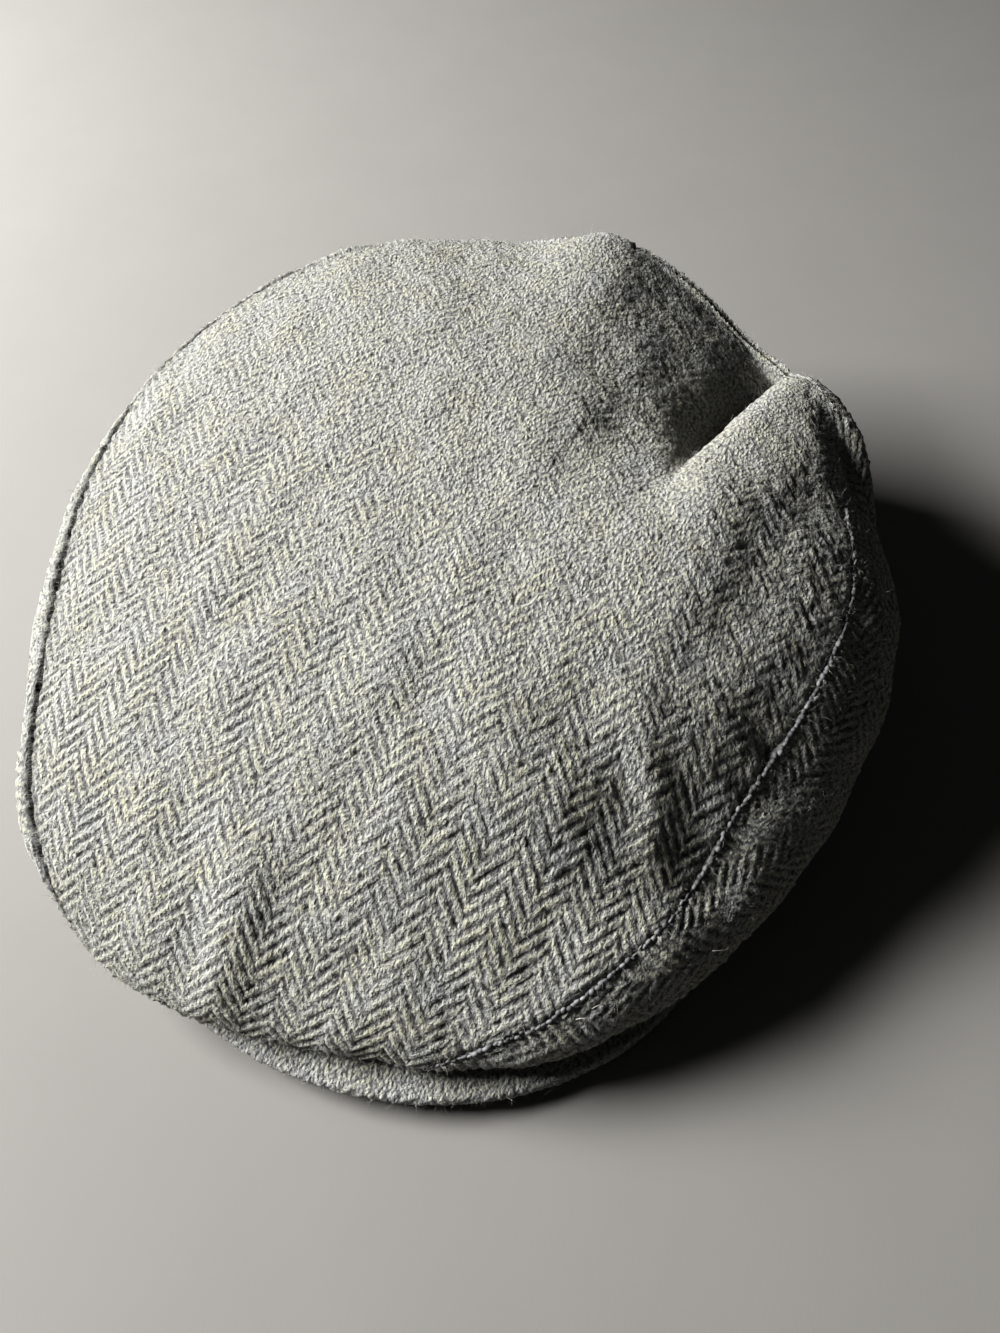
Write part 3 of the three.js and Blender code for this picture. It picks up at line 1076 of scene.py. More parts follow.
@dataclass
class PeakCover:
    """The peak's cloth cover, tight over its board, with its columns from back to front."""

    crown: CrownShape
    weave: Weave
    name: str = "peak_tweed"
    node: str = "peak"
    slot: str = "tweed_peak"
    sections: int = 440
    face_steps: int = 44
    nose_steps: int = 12
    crisp: float = 0.5
    lump_part: float = 0.5
    waves: float = 0.12
    wave_lengths: Pair = (9.0, 28.0)
    wear_width: float = 3.2
    fuzz_under: float = 2.0
    bake_sides: Pair = (0.005, 0.995)
    bake_heights: Pair = (0.005, 0.92)
    bake_wrap: float = 0.925
    cap_island: Rectangle = (0.005, 0.93, 0.99, 0.065)
    cap_columns: int = 80

    def loops(self) -> tuple[Array, Array, Array]:
        """Closed cross-sections from the tuck under the crown, over the top, round the nose and back under.

        Returns:
            Points by section and step, their weave places, and the distance of each from the nose's tip.
        """
        peak = self.crown.peak
        share = np.linspace(-peak.end_share, peak.end_share, self.sections)[:, None]
        direction = peak.direction(share)
        turn = np.radians(direction)
        reach = peak.reach(share)
        nose = peak.thickness / 2.0
        face = np.linspace(0.0, 1.0, self.face_steps)[None, :]
        flat_out = -peak.tuck + (reach - nose + peak.tuck) * face
        bend = np.linspace(0.0, np.pi, self.nose_steps + 2)[None, 1:-1]
        nose_out = reach - nose + nose * np.sin(bend)
        out = np.concatenate((flat_out, nose_out, flat_out[:, ::-1]), axis=1)
        upper = peak.top(share, np.clip(flat_out / reach, 0.0, 1.0))
        lip = upper[:, -1:]
        nose_height = lip - nose + nose * np.cos(bend)
        height = np.concatenate((upper, nose_height, upper[:, ::-1] - peak.thickness), axis=1)
        rim = self.crown.rim(direction)
        points = np.stack((
            rim[..., 0] + out * np.cos(turn),
            rim[..., 1] + out * np.sin(turn),
            height,
        ), axis=-1)
        steps = np.hypot(np.diff(out, axis=1), np.diff(height, axis=1))
        run = np.concatenate((out[:, :1], out[:, :1] + np.cumsum(steps, axis=1)), axis=1)
        weave = np.stack((rim[..., 0] + run * np.cos(turn), rim[..., 1] + run * np.sin(turn)), axis=-1)
        middle = (run[:, self.face_steps - 1] + run[:, self.face_steps + self.nose_steps]) / 2.0
        return points, weave, run - middle[:, None]

    def surface(self) -> tuple[Array, Array, Array, Array]:
        """The cover with the weave's floats raised along its normals.

        Returns:
            Points, normals, weave places and distances from the nose's tip.
        """
        points, weave, from_nose = self.loops()
        normals = grid_normals(points)
        lift = (
            self.crisp * self.weave.rise(weave[..., 0], weave[..., 1])
            + self.lump_part * self.weave.lumps(weave.shape[:2], seed=15)
            + self.waves * soft_waves(weave[..., 0], weave[..., 1], *self.wave_lengths, count=8, seed=17)
        )
        raised = points + normals * lift[..., None]
        raised[..., 2] = np.maximum(raised[..., 2], ABOVE_FLOOR)
        return raised, normals, weave, from_nose

    def wear(self, from_nose: Array) -> Array:
        """How worn the cloth is: a bell about the nose."""
        return np.exp(-((from_nose / self.wear_width) ** 2))

    def fuzz_face(self) -> tuple[Array, Array, Array]:
        """The part of the cover that has fuzz, its upper face and its nose.

        Returns:
            Points, their normals and their wear.
        """
        points, normals, _, from_nose = self.surface()
        seen = from_nose < self.fuzz_under
        return points[seen], normals[seen], self.wear(from_nose[seen])

    def mesh(self) -> MeshPlan:
        """The cover as a closed tube of quads with strips across its two ends.

        Returns:
            The cover's mesh plan.
        """
        points, _, weave, from_nose = self.surface()
        sections, steps = points.shape[:2]
        number = np.arange(sections * steps).reshape(sections, steps)
        beyond = np.roll(number, -1, axis=1)
        quads = np.stack((number[:-1], number[1:], beyond[1:], beyond[:-1]), axis=-1).reshape(-1, 4)
        half = steps // 2
        low, high = np.arange(half - 1), steps - 1 - np.arange(half - 1)
        cap = np.stack((low, low + 1, high - 1, high), axis=-1)
        caps = np.concatenate((number[0][cap], number[-1][cap[:, ::-1]]))
        cap_places = cell_corners(len(caps), self.cap_island, self.cap_columns, CELL_CORNERS)
        across = np.broadcast_to(np.linspace(*self.bake_sides, sections)[:, None], (sections, steps))
        upward = np.broadcast_to(np.linspace(*self.bake_heights, steps + 1)[None, :-1], (sections, steps))
        place = np.stack((across, upward), axis=-1).reshape(-1, 2)
        quad_places = place[quads]
        last_step = (np.arange(steps) == steps - 1)[:, None]
        wrap = np.tile(last_step & np.array((False, False, True, True)), (sections - 1, 1))
        quad_places[..., 1] = np.where(wrap, self.bake_wrap, quad_places[..., 1])
        flat_weave = weave.reshape(-1, 2)
        return MeshPlan(
            points.reshape(-1, 3),
            [quads, caps],
            {
                WEAVE_MAP: [flat_weave[quads], flat_weave[caps]],
                BAKE_MAP: [quad_places, cap_places],
            },
            {
                WEAR: self.wear(from_nose).ravel(),
                CRISP: np.full(from_nose.size, self.crisp),
                CREVICE_SHADE: np.zeros(from_nose.size),
            },
        )


def tubes(paths: Array, radii: Array, sides: int, tones: Array) -> MeshPlan:
    """Thin closed tubes, a regular polygon carried along each path, all in one mesh.

    Args:
        paths: Points, shaped tubes, steps, 3.
        radii: Radius at each point, shaped tubes, steps.
        sides: Corners of the polygon.
        tones: A value from 0 to 1 for each tube.

    Returns:
        The tubes' mesh plan, with each tube in its own cell of the bake map.
    """
    count, steps = paths.shape[:2]
    forward = unit(np.gradient(paths, axis=1))
    least = np.eye(3)[np.abs(forward[:, 0]).argmin(axis=-1)][:, None, :]
    sideways = unit(np.cross(forward, least))
    upwards = np.cross(forward, sideways)
    around = np.linspace(0.0, 2.0 * np.pi, sides, endpoint=False)
    ring = (
        sideways[:, :, None, :] * np.cos(around)[:, None]
        + upwards[:, :, None, :] * np.sin(around)[:, None]
    )
    points = paths[:, :, None, :] + ring * radii[:, :, None, None]
    number = np.arange(count * steps * sides).reshape(count, steps, sides)
    beyond = np.roll(number, -1, axis=2)
    quads = np.stack((number[:, :-1], beyond[:, :-1], beyond[:, 1:], number[:, 1:]), axis=-1)
    caps = np.concatenate((number[:, :1, ::-1], number[:, -1:]), axis=1)
    cells = (count, (0.0, 0.0, 1.0, 1.0), math.ceil(math.sqrt(count)))
    # Each tube's sides fill the middle of its cell, and its two ends lie in strips below and above them
    side_corner, side_size = np.array((0.05, 0.12)), np.array((0.9, 0.76))
    end_middle, end_half = np.array((0.5, 0.055)), np.array((0.4, 0.045))
    first_end, last_end = np.array((0.0, 0.11)), np.array((0.0, 0.89))
    side_left, side_low = np.meshgrid(np.arange(sides) / sides, np.arange(steps - 1) / (steps - 1))
    side_right, side_high = side_left + 1.0 / sides, side_low + 1.0 / (steps - 1)
    quad_cell = np.stack((
        np.stack((side_left, side_low), axis=-1),
        np.stack((side_right, side_low), axis=-1),
        np.stack((side_right, side_high), axis=-1),
        np.stack((side_left, side_high), axis=-1),
    ), axis=-2) * side_size + side_corner
    round_cell = end_middle + end_half * np.stack((np.cos(around), np.sin(around)), axis=-1)
    cap_cell = np.stack((round_cell * (1.0, -1.0) + first_end, round_cell + last_end))
    return MeshPlan(
        points.reshape(-1, 3),
        [quads.reshape(-1, 4), caps.reshape(-1, sides)],
        {BAKE_MAP: [cell_corners(*cells, quad_cell), cell_corners(*cells, cap_cell)]},
        {TONE: np.repeat(tones, steps * sides)},
    )


@dataclass
class SeamEdge:
    """The turned edge of a side panel, which shows at the seam as short floats of yarn laid end to end."""

    crown: CrownShape
    panel: SidePanel
    seed: int
    pitch: float = 1.35
    overlap: float = 1.15
    radius: float = 0.68
    below_seam: float = 0.004
    proud: float = 0.1
    askew: float = 0.16
    twist: float = 0.25
    start_spread: float = 0.15
    slackest: float = 0.4
    most_pull: float = 1.1
    thickness: Pair = (0.7, 1.15)
    tones: Pair = (0.0, 0.34)
    spindle_span: Pair = (0.12, 0.88)
    spindle_power: float = 0.6
    line_samples: int = 2401
    steps: int = 6
    sides: int = 6

    @property
    def name(self) -> str:
        """The object's name."""
        return f"{self.panel.node}_seam_edge"

    def mesh(self) -> MeshPlan:
        """Each float is a spindle along the seam's line, a little askew, and thinner where the seam is slack.

        Returns:
            The floats' mesh plan.
        """
        random = np.random.default_rng(self.seed)
        first, last = self.panel.limits
        direction = np.linspace(first, last, self.line_samples)
        way = self.crown.seam(direction) + self.below_seam
        line = self.crown.point(direction, way)
        run = np.concatenate(([0.0], np.cumsum(np.linalg.norm(np.diff(line, axis=0), axis=1))))
        starts = np.arange(self.pitch, run[-1] - 2.0 * self.pitch, self.pitch)
        starts = starts + random.normal(0.0, self.start_spread * self.pitch, len(starts))
        pull = np.minimum(self.most_pull, seam_pull(np.interp(starts, run, direction), SIDE_PULL_SEED))
        starts, pull = starts[pull > self.slackest], pull[pull > self.slackest]
        share = np.linspace(0.0, 1.0, self.steps)
        places = np.interp(starts[:, None] + share * self.pitch * self.overlap, run, direction)
        offset = random.normal(0.0, self.askew, (len(starts), 2, 1))
        offset = offset + random.normal(0.0, self.twist, (len(starts), 2, 1)) * share
        seam = self.crown.seam(places)
        normals = self.crown.normal(places, seam)
        sideways = unit(np.cross(normals, np.gradient(self.crown.point(places, seam), axis=1)))
        paths = (
            self.crown.point(places, seam + self.below_seam)
            + normals * (offset[:, 0] + self.proud)[..., None]
            + sideways * offset[:, 1][..., None]
        )
        spindle = np.sin(np.pi * np.linspace(*self.spindle_span, self.steps)) ** self.spindle_power
        radii = self.radius * spindle * (pull * random.uniform(*self.thickness, len(starts)))[:, None]
        return tubes(paths, radii, self.sides, random.uniform(*self.tones, len(starts)))


@dataclass
class WoolFuzz:
    """Loose wool fibres that stand from a cloth's face, more of them along its seams and edges."""

    name: str
    slot: str
    count: int
    seed: int
    shortest: float = 0.7
    longest: float = 2.6
    radius: float = 0.03
    thickness: Pair = (0.7, 1.3)
    taper: float = 0.65
    root_spread: float = 0.25
    root_depth: float = 0.25
    leans: Pair = (30.0, 82.0)
    bend: float = 0.32
    droop: float = 0.15
    above_floor: float = 0.05
    edge_share: float = 0.35
    steps: int = 3
    sides: int = 3

    def mesh(self, points: Array, normals: Array, wear: Array) -> MeshPlan:
        """Fibres rooted at seeded points of a face, each a parabola that leaves the cloth and bends over.

        Args:
            points: Points of the face.
            normals: Their outward normals.
            wear: How worn each point is, which draws more fibres.

        Returns:
            The fibres' mesh plan.
        """
        random = np.random.default_rng(self.seed)
        weight = (1.0 - self.edge_share) / len(points) + self.edge_share * wear / wear.sum()
        chosen = random.choice(len(points), self.count, p=weight / weight.sum())
        normal = normals[chosen]
        root = points[chosen] + random.normal(0.0, self.root_spread, (self.count, 3))
        tangent = unit(np.cross(normal, unit(random.normal(size=(self.count, 3)))))
        lean = np.radians(random.uniform(*self.leans, (self.count, 1)))
        leave = normal * np.cos(lean) + tangent * np.sin(lean)
        bend = random.normal(0.0, self.bend, (self.count, 3)) - self.droop * normal
        length = self.shortest + (self.longest - self.shortest) * random.random((self.count, 1, 1)) ** 2
        step = np.linspace(0.0, 1.0, self.steps)[None, :, None]
        start = root - normal * self.root_depth
        paths = start[:, None, :] + length * (step * leave[:, None, :] + step**2 * bend[:, None, :])
        paths[..., 2] = np.maximum(paths[..., 2], self.above_floor)
        thickness = random.uniform(*self.thickness, (self.count, 1))
        radii = self.radius * thickness * (1.0 - self.taper * step[..., 0])
        return tubes(paths, radii, self.sides, random.random(self.count))


@dataclass(frozen=True)
class ThreadEnd:
    """A short end of yarn that has worked loose from a side panel."""

    direction: float
    way: float
    bearing: float
    length: float
    curl: float


@dataclass
class LooseThreads:
    """The few loose ends of yarn on the side panels."""

    crown: CrownShape
    name: str = "loose_threads"
    slot: str = "tweed_side"
    radius: float = 0.13
    taper: float = 0.55
    hump: float = 0.25
    hump_share: float = 0.85
    tones: Pair = (0.5, 0.6)
    steps: int = 12
    sides: int = 6
    ends: tuple[ThreadEnd, ...] = (
        ThreadEnd(329.0, 0.91, 110.0, 8.0, 0.8),
        ThreadEnd(306.5, 0.79, 40.0, 3.5, -1.4),
        ThreadEnd(310.5, 0.78, 150.0, 3.0, 1.2),
    )

    def mesh(self) -> MeshPlan:
        """Each end leaves the cloth, arcs over it and drops back: a sine hump along a curve on the face.

        Returns:
            The ends' mesh plan.
        """
        columns = np.array([astuple(end) for end in self.ends]).T
        direction, way = columns[:2]
        bearing, length, curl = columns[2:, :, None]
        root = self.crown.point(direction, way)
        normal = self.crown.normal(direction, way)
        level = unit(np.cross(np.array((0.0, 0.0, 1.0)), normal))
        climb = np.cross(normal, level)
        share = np.linspace(0.0, 1.0, self.steps)[None, :]
        heading = np.radians(bearing) + curl * share
        step = length / (self.steps - 1)
        right = np.cumsum(np.cos(heading), axis=1) * step
        up = np.cumsum(np.sin(heading), axis=1) * step
        rise = self.hump * length * np.sin(np.pi * share * self.hump_share)
        paths = (
            root[:, None, :]
            + right[..., None] * level[:, None, :]
            + up[..., None] * climb[:, None, :]
            + rise[..., None] * normal[:, None, :]
        )
        radii = self.radius * (1.0 - self.taper * share) * np.ones_like(length)
        return tubes(paths, radii, self.sides, np.linspace(*self.tones, len(self.ends)))


def linear(hex_colour: str) -> tuple[float, float, float, float]:
    """Linear colour with full alpha, by the sRGB curve: a short straight start and then a power of 2.4.

    Args:
        hex_colour: An sRGB hex value such as #C8C4B0.

    Returns:
        Red, green, blue and alpha.
    """
    parts = [int(hex_colour[place:place + 2], 16) / 255.0 for place in (1, 3, 5)]
    red, green, blue = (
        part / 12.92 if part <= 0.04045 else ((part + 0.055) / 1.055) ** 2.4 for part in parts
    )
    return red, green, blue, 1.0


def add_node(
    tree: bpy.types.NodeTree, kind: str, inputs: dict[Any, Any] | None = None, **settings: Any
) -> bpy.types.bpy_prop_collection:
    """Adds a node with its settings, its plain inputs and its links.

    Args:
        tree: The material's node tree.
        kind: The node's type.
        inputs: Values or output sockets by input name or number.
        settings: The node's own properties.

    Returns:
        The new node's outputs.
    """
    node = tree.nodes.new(kind)
    for name, value in settings.items():
        setattr(node, name, value)
    for key, value in (inputs or {}).items():
        if isinstance(value, bpy.types.NodeSocket):
            tree.links.new(value, node.inputs[key])
        else:
            node.inputs[key].default_value = value
    return node.outputs


def new_tree(name: str) -> tuple[bpy.types.Material, bpy.types.NodeTree]:
    """Makes a material with no nodes.

    Args:
        name: The material's name.

    Returns:
        The material and its node tree.
    """
    material = bpy.data.materials.new(name)
    material.use_nodes = True
    material.node_tree.nodes.clear()
    return material, material.node_tree


@dataclass(frozen=True)
class Tweed:
    """Milled woollen tweed: hairy cream and grey yarns felted together, so the herringbone shows only softly.

    The face is matt and grainy, pale on the yarns and dark in the pits between them, with a soft sheen.
    """

    name: str
    weave: Weave
    cream: str = "#B8B8AC"
    straw: str = "#ACAA93"
    mist: str = "#A0A1A4"
    charcoal: str = "#5C5C5A"
    smoke: str = "#828282"
    # Painted shade, mixed in where the seams' crevices, the pits and the dent's slot lie in shadow
    painted_shade: str = "#191918"
    sheen_tint: str = "#E4E0D2"
    sheen: float = 0.25
    sheen_roughness: float = 0.5
    specular: float = 0.2
    bump_depth: float = 0.9
    worn: float = 0.35
    end_sway: float = 1.2
    pick_sway: float = 1.8
    stroke_part: float = 0.26
    stroke_spread: float = 0.9
    clumps_along: float = 0.5
    clumps_across: float = 0.95
    clump_layers: float = 9.0
    clump_part: float = 1.1
    grain_part: float = 1.7
    knots_along: float = 0.7
    knot_part: float = 0.86
    knot_fade: float = 0.5
    knot_mean: float = 0.4

    def material(self) -> bpy.types.Material:
        """The finish as nodes that repeat the weave's draft from the cloth's own map in millimetres.

        Returns:
            The material.
        """
        material, tree = new_tree(self.name)
        weave = self.weave
        pitch = math.hypot(weave.end_pitch, weave.pick_pitch)
        slant_across, slant_along = weave.end_pitch / pitch, weave.pick_pitch / pitch
        columns = weave.column_ends
        cloth = add_node(tree, "ShaderNodeUVMap", uv_map=WEAVE_MAP)[0]
        parts = add_node(tree, "ShaderNodeSeparateXYZ", {0: cloth})
        # Uneven spinning sways the yarns by a few tenths of a millimetre over a few millimetres
        sway = add_node(tree, "ShaderNodeTexNoise", {"Vector": cloth, "Scale": 0.45, "Detail": 3.0})
        sways = add_node(tree, "ShaderNodeSeparateXYZ", {0: sway["Color"]})
        made: dict[str, Any] = {
            "across": parts[0],
            "along": parts[1],
            "sway_across": sways[0],
            "sway_along": sways[1],
        }
        end_start = -0.5 * self.end_sway - weave.first_column / weave.end_pitch - 0.5
        stroke_start = self.stroke_part - 0.5 * self.stroke_spread
        # The draft in steps: a name, an operation and its terms, which are earlier names or numbers
        draft = (
            ("end_shift", "MULTIPLY_ADD", "sway_across", self.end_sway, end_start),
            ("end_place", "MULTIPLY_ADD", "across", 1.0 / weave.end_pitch, "end_shift"),
            ("end", "ROUND", "end_place"),
            ("place", "FLOORED_MODULO", "end", 2.0 * columns),
            ("falls", "GREATER_THAN", "place", columns - 0.5),
            ("turned", "MULTIPLY_ADD", "place", 2.0, -weave.break_step),
            ("turned_by", "MULTIPLY", "falls", "turned"),
            ("step", "SUBTRACT", "turned_by", "place"),
            ("pick_shift", "MULTIPLY_ADD", "sway_along", self.pick_sway, -0.5 * self.pick_sway),
            ("pick_place", "MULTIPLY_ADD", "along", 1.0 / weave.pick_pitch, "pick_shift"),
            ("run", "ADD", "pick_place", "step"),
            ("wave", "MULTIPLY_ADD", "run", 2.0 * math.pi / weave.repeat, -math.pi / weave.repeat),
            ("crest", "COSINE", "wave"),
            ("slant", "MULTIPLY_ADD", "falls", -2.0, 1.0),
            ("across_slant", "MULTIPLY", "across", "slant"),
            ("down_stroke", "MULTIPLY", "along", slant_along),
            ("stroke_run", "MULTIPLY_ADD", "across_slant", slant_across, "down_stroke"),
            ("up_stroke", "MULTIPLY", "along", -slant_across),
            ("stroke_side", "MULTIPLY_ADD", "across_slant", slant_along, "up_stroke"),
            ("clump_run", "MULTIPLY", "stroke_run", self.clumps_along),
            ("clump_side", "MULTIPLY", "stroke_side", self.clumps_across),
            ("clump_layer", "MULTIPLY", "falls", self.clump_layers),
            ("knot_along", "MULTIPLY", "along", self.knots_along),
        )
        for name, operation, *terms in draft:
            inputs = {place: made.get(term, term) for place, term in enumerate(terms)}
            made[name] = add_node(tree, "ShaderNodeMath", inputs, operation=operation)[0]
        # Felted fibre lies in clumps along the strokes, about 1 mm wide and 2 mm long, with a finer grain on
        # it. The wool's tints drift over a centimetre or two, and some patches are milled more than others
        clump_parts = enumerate(("clump_side", "clump_run", "clump_layer"))
        inputs = {place: made[part] for place, part in clump_parts}
        clump_place = add_node(tree, "ShaderNodeCombineXYZ", inputs)[0]
        noises = (
            ("clump", clump_place, 1.0, 3.0, 0.6),
            ("grain", cloth, 1.2, 3.0, 0.6),
            ("heather", cloth, 0.08, 5.0, 0.65),
            ("felted", cloth, 0.035, 2.0, 0.5),
        )
        for name, place, scale, detail, roughness in noises:
            inputs = {"Vector": place, "Scale": scale, "Detail": detail, "Roughness": roughness}
            made[name] = add_node(tree, "ShaderNodeTexNoise", inputs)[0]
        # Knots of fibre, about 1 mm wide and longer along the ends, are pale and raised, with pits between
        knot_place = add_node(tree, "ShaderNodeCombineXYZ", {0: made["across"], 1: made["knot_along"]})[0]
        inputs = {"Vector": knot_place, "Scale": 1.0}
        made["knot"] = add_node(tree, "ShaderNodeTexVoronoi", inputs, voronoi_dimensions="2D")["Distance"]
        made["end_random"] = add_node(
            tree, "ShaderNodeTexWhiteNoise", {"W": made["end"]}, noise_dimensions="1D"
        )[0]
        for name in (CRISP, WEAR, CREVICE_SHADE):
            made[name] = add_node(tree, "ShaderNodeAttribute", attribute_name=name)["Fac"]
        # The face in steps, of which those called parts are held between 0 and 1
        face = (
            ("stroke_share", "MULTIPLY_ADD", "felted", self.stroke_spread, stroke_start),
            ("strokes", "MULTIPLY", "crest", "stroke_share"),
            ("clumps", "MULTIPLY_ADD", "clump", self.clump_part, "strokes"),
            ("lines", "ADD", "clumps", -0.5 * self.clump_part),
            ("crisp_lines", "MULTIPLY", "lines", CRISP),
            ("knot_share", "MULTIPLY_ADD", CRISP, self.knot_fade, -self.knot_part),
            ("knot_depth", "SUBTRACT", "knot", self.knot_mean),
            ("knots", "MULTIPLY_ADD", "knot_depth", "knot_share", "crisp_lines"),
            ("grains", "MULTIPLY_ADD", "grain", self.grain_part, "knots"),
            ("face", "ADD", "grains", 0.5 - 0.5 * self.grain_part),
            ("face_part", "MULTIPLY_ADD", "face", 1.0, 0.0),
            ("straw_part", "MULTIPLY_ADD", "heather", 2.6, -0.95),
            ("mist_noise", "MULTIPLY_ADD", "heather", -2.2, 1.15),
            ("mist_part", "MULTIPLY_ADD", "end_random", 0.3, "mist_noise"),
            ("smoke_part", "MULTIPLY_ADD", "face", 2.6, -0.1),
            ("pale_part", "MULTIPLY_ADD", "face", 2.4, -0.75),
            ("roughness", "MULTIPLY_ADD", "face_part", -0.12, 0.97),
            ("rubbed", "MULTIPLY", WEAR, self.worn),
        )
        for name, operation, *terms in face:
            inputs = {place: made.get(term, term) for place, term in enumerate(terms)}
            clamped = name.endswith("part")
            made[name] = add_node(tree, "ShaderNodeMath", inputs, operation=operation, use_clamp=clamped)[0]
        # The colours: a name, the share of the second, and the two to mix, which are earlier names or colours
        mixes = (
            ("warm", "straw_part", self.cream, self.straw),
            ("pale", "mist_part", "warm", self.mist),
            ("dark", "smoke_part", self.charcoal, self.smoke),
            ("yarn", "pale_part", "dark", "pale"),
            ("faded", "rubbed", "yarn", self.mist),
            # The last mix paints shade into the seams' crevices, the pits and the dent's slot
            ("shaded", CREVICE_SHADE, "faded", self.painted_shade),
        )
        for name, share, *pair in mixes:
            low, high = (made[colour] if colour in made else linear(colour) for colour in pair)
            inputs = {0: made[share], 6: low, 7: high}
            made[name] = add_node(tree, "ShaderNodeMix", inputs, data_type="RGBA")[2]
        relief = {"Height": made["face"], "Strength": 0.9, "Distance": self.bump_depth * MM}
        bump = add_node(tree, "ShaderNodeBump", relief)[0]
        shader = add_node(
            tree,
            "ShaderNodeBsdfPrincipled",
            {
                "Base Color": made["shaded"],
                "Roughness": made["roughness"],
                "Normal": bump,
                "Specular IOR Level": self.specular,
                "Sheen Weight": self.sheen,
                "Sheen Roughness": self.sheen_roughness,
                "Sheen Tint": linear(self.sheen_tint),
            },
        )
        add_node(tree, "ShaderNodeOutputMaterial", {"Surface": shader[0]})
        return material


@dataclass(frozen=True)
class WoolFibre:
    """Single wool fibres in undyed cream, grey and charcoal, slim and softly matt from their fine scales."""

    name: str = "wool_fibre"
    cream: str = "#B6B4A8"
    grey: str = "#808082"
    charcoal: str = "#424140"

    def material(self) -> bpy.types.Material:
        """The finish as nodes: a tone for each fibre picks its colour, and fine scales roughen it.

        Returns:
            The material.
        """
        material, tree = new_tree(self.name)
        tone = add_node(tree, "ShaderNodeAttribute", attribute_name=TONE)["Fac"]
        colour: Any = linear(self.charcoal)
        for start, stop, dye in ((0.0, 0.35, self.grey), (0.3, 0.6, self.cream)):
            share = add_node(tree, "ShaderNodeMapRange", {"Value": tone, "From Min": start, "From Max": stop})
            mixed = {0: share[0], 6: colour, 7: linear(dye)}
            colour = add_node(tree, "ShaderNodeMix", mixed, data_type="RGBA")[2]
        place = add_node(tree, "ShaderNodeTexCoord")["Object"]
        # Fibre scales are far too fine to show, so they are drawn a tenth of a millimetre long
        scales = add_node(tree, "ShaderNodeTexNoise", {"Vector": place, "Scale": 10000.0})[0]
        roughness = add_node(
            tree, "ShaderNodeMath", {0: scales, 1: 0.3, 2: 0.55}, operation="MULTIPLY_ADD"
        )[0]
        relief = {"Height": scales, "Strength": 0.2, "Distance": 0.01 * MM}
        bump = add_node(tree, "ShaderNodeBump", relief)[0]
        shader = add_node(
            tree, "ShaderNodeBsdfPrincipled", {"Base Color": colour, "Roughness": roughness, "Normal": bump}
        )
        add_node(tree, "ShaderNodeOutputMaterial", {"Surface": shader[0]})
        return material


@dataclass(frozen=True)
class StudioPaper:
    """Matt studio paper, pale and even, with a faint tooth."""

    name: str = "studio_paper"
    colour: str = "#878581"
    mottled: str = "#83817D"

    def material(self) -> bpy.types.Material:
        """The finish as nodes: a faint mottle and a fine tooth.

        Returns:
            The material.
        """
        material, tree = new_tree(self.name)
        place = add_node(tree, "ShaderNodeTexCoord")["Object"]
        mottle = add_node(tree, "ShaderNodeTexNoise", {"Vector": place, "Scale": 30.0, "Detail": 3.0})
        mixed = {0: mottle[0], 6: linear(self.mottled), 7: linear(self.colour)}
        colour = add_node(tree, "ShaderNodeMix", mixed, data_type="RGBA")[2]
        tooth = add_node(tree, "ShaderNodeTexNoise", {"Vector": place, "Scale": 1400.0})[0]
        relief = {"Height": tooth, "Strength": 0.1, "Distance": 0.1 * MM}
        bump = add_node(tree, "ShaderNodeBump", relief)[0]
        shader = add_node(
            tree, "ShaderNodeBsdfPrincipled", {"Base Color": colour, "Roughness": 0.9, "Normal": bump}
        )
        add_node(tree, "ShaderNodeOutputMaterial", {"Surface": shader[0]})
        return material


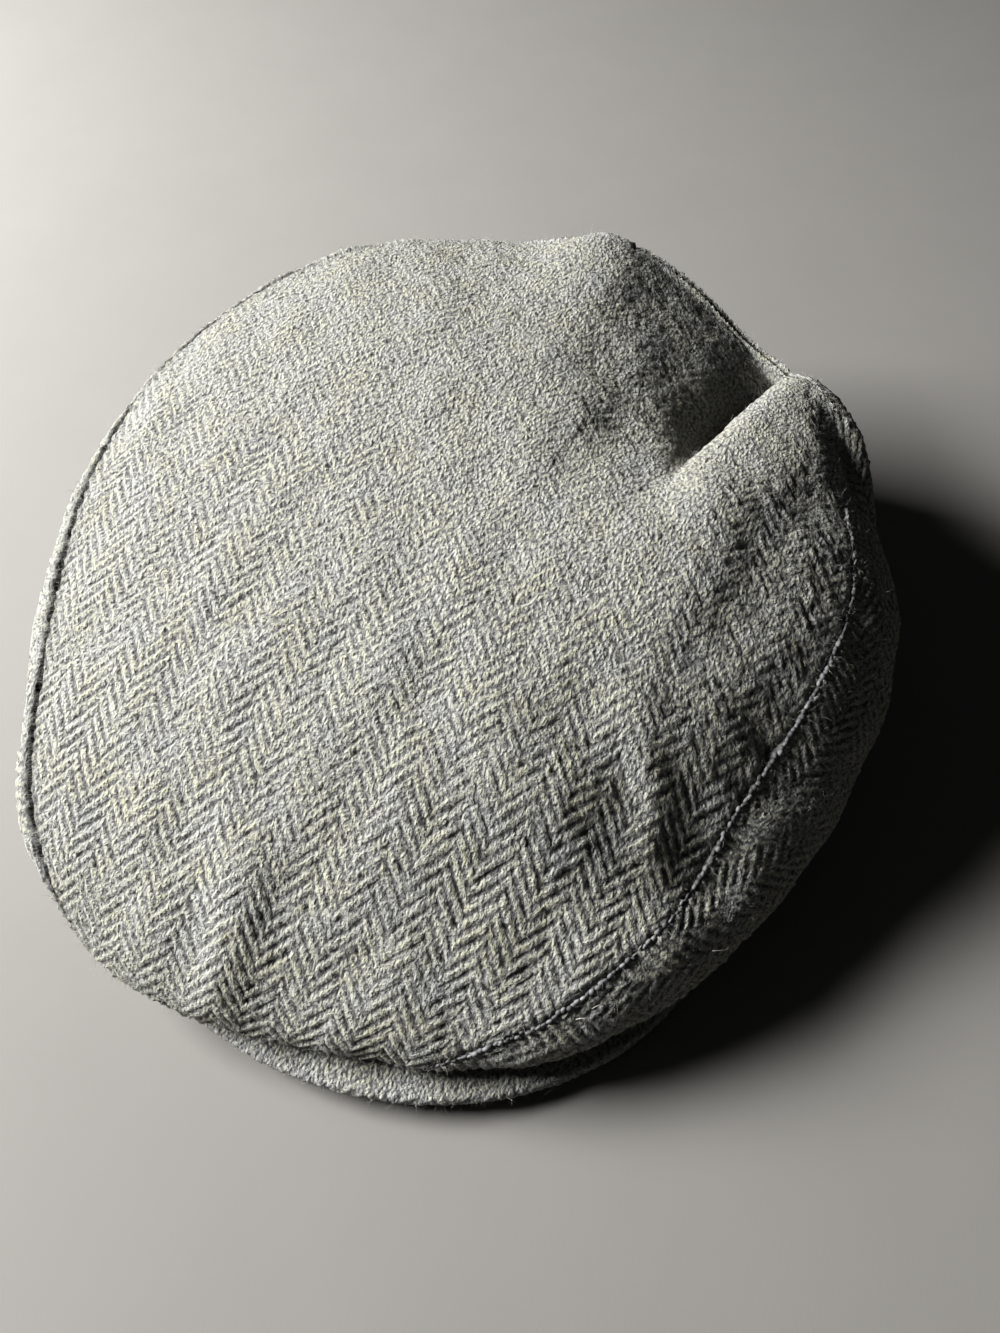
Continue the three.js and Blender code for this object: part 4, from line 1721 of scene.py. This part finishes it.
@dataclass
class Studio:
    """The pale floor, the soft light from the left and the camera above the cap's front."""

    floor_half: float = 3.0
    floor_rows: int = 9
    azimuth: float = 23.0
    elevation: float = 56.0
    distance: float = 0.272
    target: tuple[float, float, float] = (0.01921, -0.01398, 0.035)
    sensor: float = 36.0
    picture: tuple[int, int] = (1000, 1333)
    key_bearing: Pair = (-0.985, -0.17)
    key_elevation: float = 30.0
    key_distance: float = 1.15
    key_size: Pair = (0.62, 0.35)
    key_power: float = 42.0
    sky: str = "#E6E8EC"
    sky_strength: float = 0.03

    def aim(self, thing: bpy.types.Object, away: Vector, distance: float) -> None:
        """Sets a light or a camera at a distance from the target and turns it to face the target.

        Args:
            thing: The light or the camera.
            away: Unit vector from the target to it.
            distance: Metres from the target.
        """
        thing.location = Vector(self.target) + away * distance
        thing.rotation_mode = "QUATERNION"
        thing.rotation_quaternion = (-away).to_track_quat("-Z", "Y")

    def floor(self) -> None:
        """A flat sheet of paper under the cap."""
        places = np.linspace(-self.floor_half, self.floor_half, self.floor_rows)
        x, y = np.meshgrid(places, places)
        vertices = np.stack((x, y, np.zeros_like(x)), axis=-1).reshape(-1, 3)
        faces = quad_corners(np.arange(x.size).reshape(x.shape))
        mesh = bpy.data.meshes.new("studio_floor")
        mesh.from_pydata(vertices.tolist(), [], faces.reshape(-1, 4).tolist())
        mesh.materials.append(StudioPaper().material())
        linked("studio_floor", mesh)

    def lights(self) -> None:
        """One wide soft light at the left and a dim even sky for the shade."""
        data = bpy.data.lights.new("key_light", "AREA")
        data.shape = "RECTANGLE"
        data.size, data.size_y = self.key_size
        data.energy = self.key_power
        rise = math.radians(self.key_elevation)
        level = Vector((*self.key_bearing, 0.0)).normalized() * math.cos(rise)
        self.aim(linked("key_light", data), level + Vector((0.0, 0.0, math.sin(rise))), self.key_distance)
        world = bpy.data.worlds.new("studio_sky")
        world.use_nodes = True
        background = world.node_tree.nodes["Background"]
        background.inputs["Color"].default_value = linear(self.sky)
        background.inputs["Strength"].default_value = self.sky_strength
        bpy.context.scene.world = world

    def camera(self) -> None:
        """A camera at the photograph's angle, with a lens of the sensor's width times the picture's shape."""
        data = bpy.data.cameras.new("camera")
        data.sensor_width = self.sensor
        data.lens = self.sensor * self.picture[0] / self.picture[1]
        data.clip_start = 0.01
        camera = linked("camera", data)
        turn, rise = math.radians(self.azimuth), math.radians(self.elevation)
        back = Vector((math.sin(turn) * math.cos(rise), -math.cos(turn) * math.cos(rise), math.sin(rise)))
        self.aim(camera, back, self.distance)
        bpy.context.scene.camera = camera

    def build(self) -> None:
        """Sets up the floor, the light and the camera."""
        self.floor()
        self.lights()
        self.camera()
        view = bpy.context.scene.view_settings
        view.view_transform = "Standard"
        view.look = "Medium High Contrast"


def dress(piece: bpy.types.Object, material: bpy.types.Material) -> None:
    """Gives a piece its finish and its body, and reports it.

    Args:
        piece: The piece.
        material: Its finish.
    """
    piece.data.materials.append(material)
    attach(piece, BODY)
    log.info("%s: %d faces", piece.name, len(piece.data.polygons))


def add_panel(panel: TopPanel | SidePanel, plan: IslandPlan, material: bpy.types.Material) -> ClothGrid:
    """Adds a panel's cloth as a stretched sheet in place of its solid.

    Args:
        panel: The panel.
        plan: Where its faces lie on the bake map.
        material: The cloth's finish.

    Returns:
        The panel's grid of crossings.
    """
    grid = panel.grid()
    piece = grid.wall(plan).object(panel.name, SHARP_ANGLE, MERGE_DISTANCE)
    dress(piece, material)
    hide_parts(panel.node)
    grid.flat_size()
    grid.flat_area() * MM * MM
    return grid


def add_fuzz(fuzz: WoolFuzz, face: tuple[Array, Array, Array], material: bpy.types.Material) -> None:
    """Adds a cloth's loose fibres.

    Args:
        fuzz: Their number and sizes.
        face: Points of the cloth's face, their normals and their wear.
        material: The fibres' finish.
    """
    dress(fuzz.mesh(*face).object(fuzz.name, NEVER_SHARP), material)


def main() -> None:
    """Loads the frame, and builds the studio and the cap's pieces."""
    logging.basicConfig(level=logging.INFO, format="%(name)s %(message)s")
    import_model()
    Studio().build()
    crown, weave = CrownShape(), Weave()
    fibre = WoolFibre().material()

    top = TopPanel(crown, weave)
    grid = add_panel(top, SQUARE_PLAN, Tweed("wool_tweed_top", weave).material())
    add_fuzz(WoolFuzz("top_panel_fuzz", top.slot, count=13500, seed=21), grid.face(), fibre)

    side_tweed = Tweed("wool_tweed_side", weave).material()
    for side, seed in ((Side.LEFT, 22), (Side.RIGHT, 23)):
        panel = SidePanel(crown, weave, side)
        grid = add_panel(panel, WIDE_PLAN, side_tweed)
        if side is Side.LEFT:
            edge = SeamEdge(crown, panel, seed=25)
            dress(edge.mesh().object(edge.name, NEVER_SHARP), fibre)
        add_fuzz(WoolFuzz(f"{panel.node}_fuzz", panel.slot, count=6000, seed=seed), grid.face(), fibre)

    cover = PeakCover(crown, weave)
    piece = cover.mesh().object(cover.name, SHARP_ANGLE)
    dress(piece, Tweed("wool_tweed_peak", weave).material())
    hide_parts(cover.node)
    add_fuzz(WoolFuzz("peak_fuzz", cover.slot, count=3000, seed=24), cover.fuzz_face(), fibre)

    threads = LooseThreads(crown)
    dress(threads.mesh().object(threads.name, NEVER_SHARP), fibre)


if __name__ == "__main__":
    main()
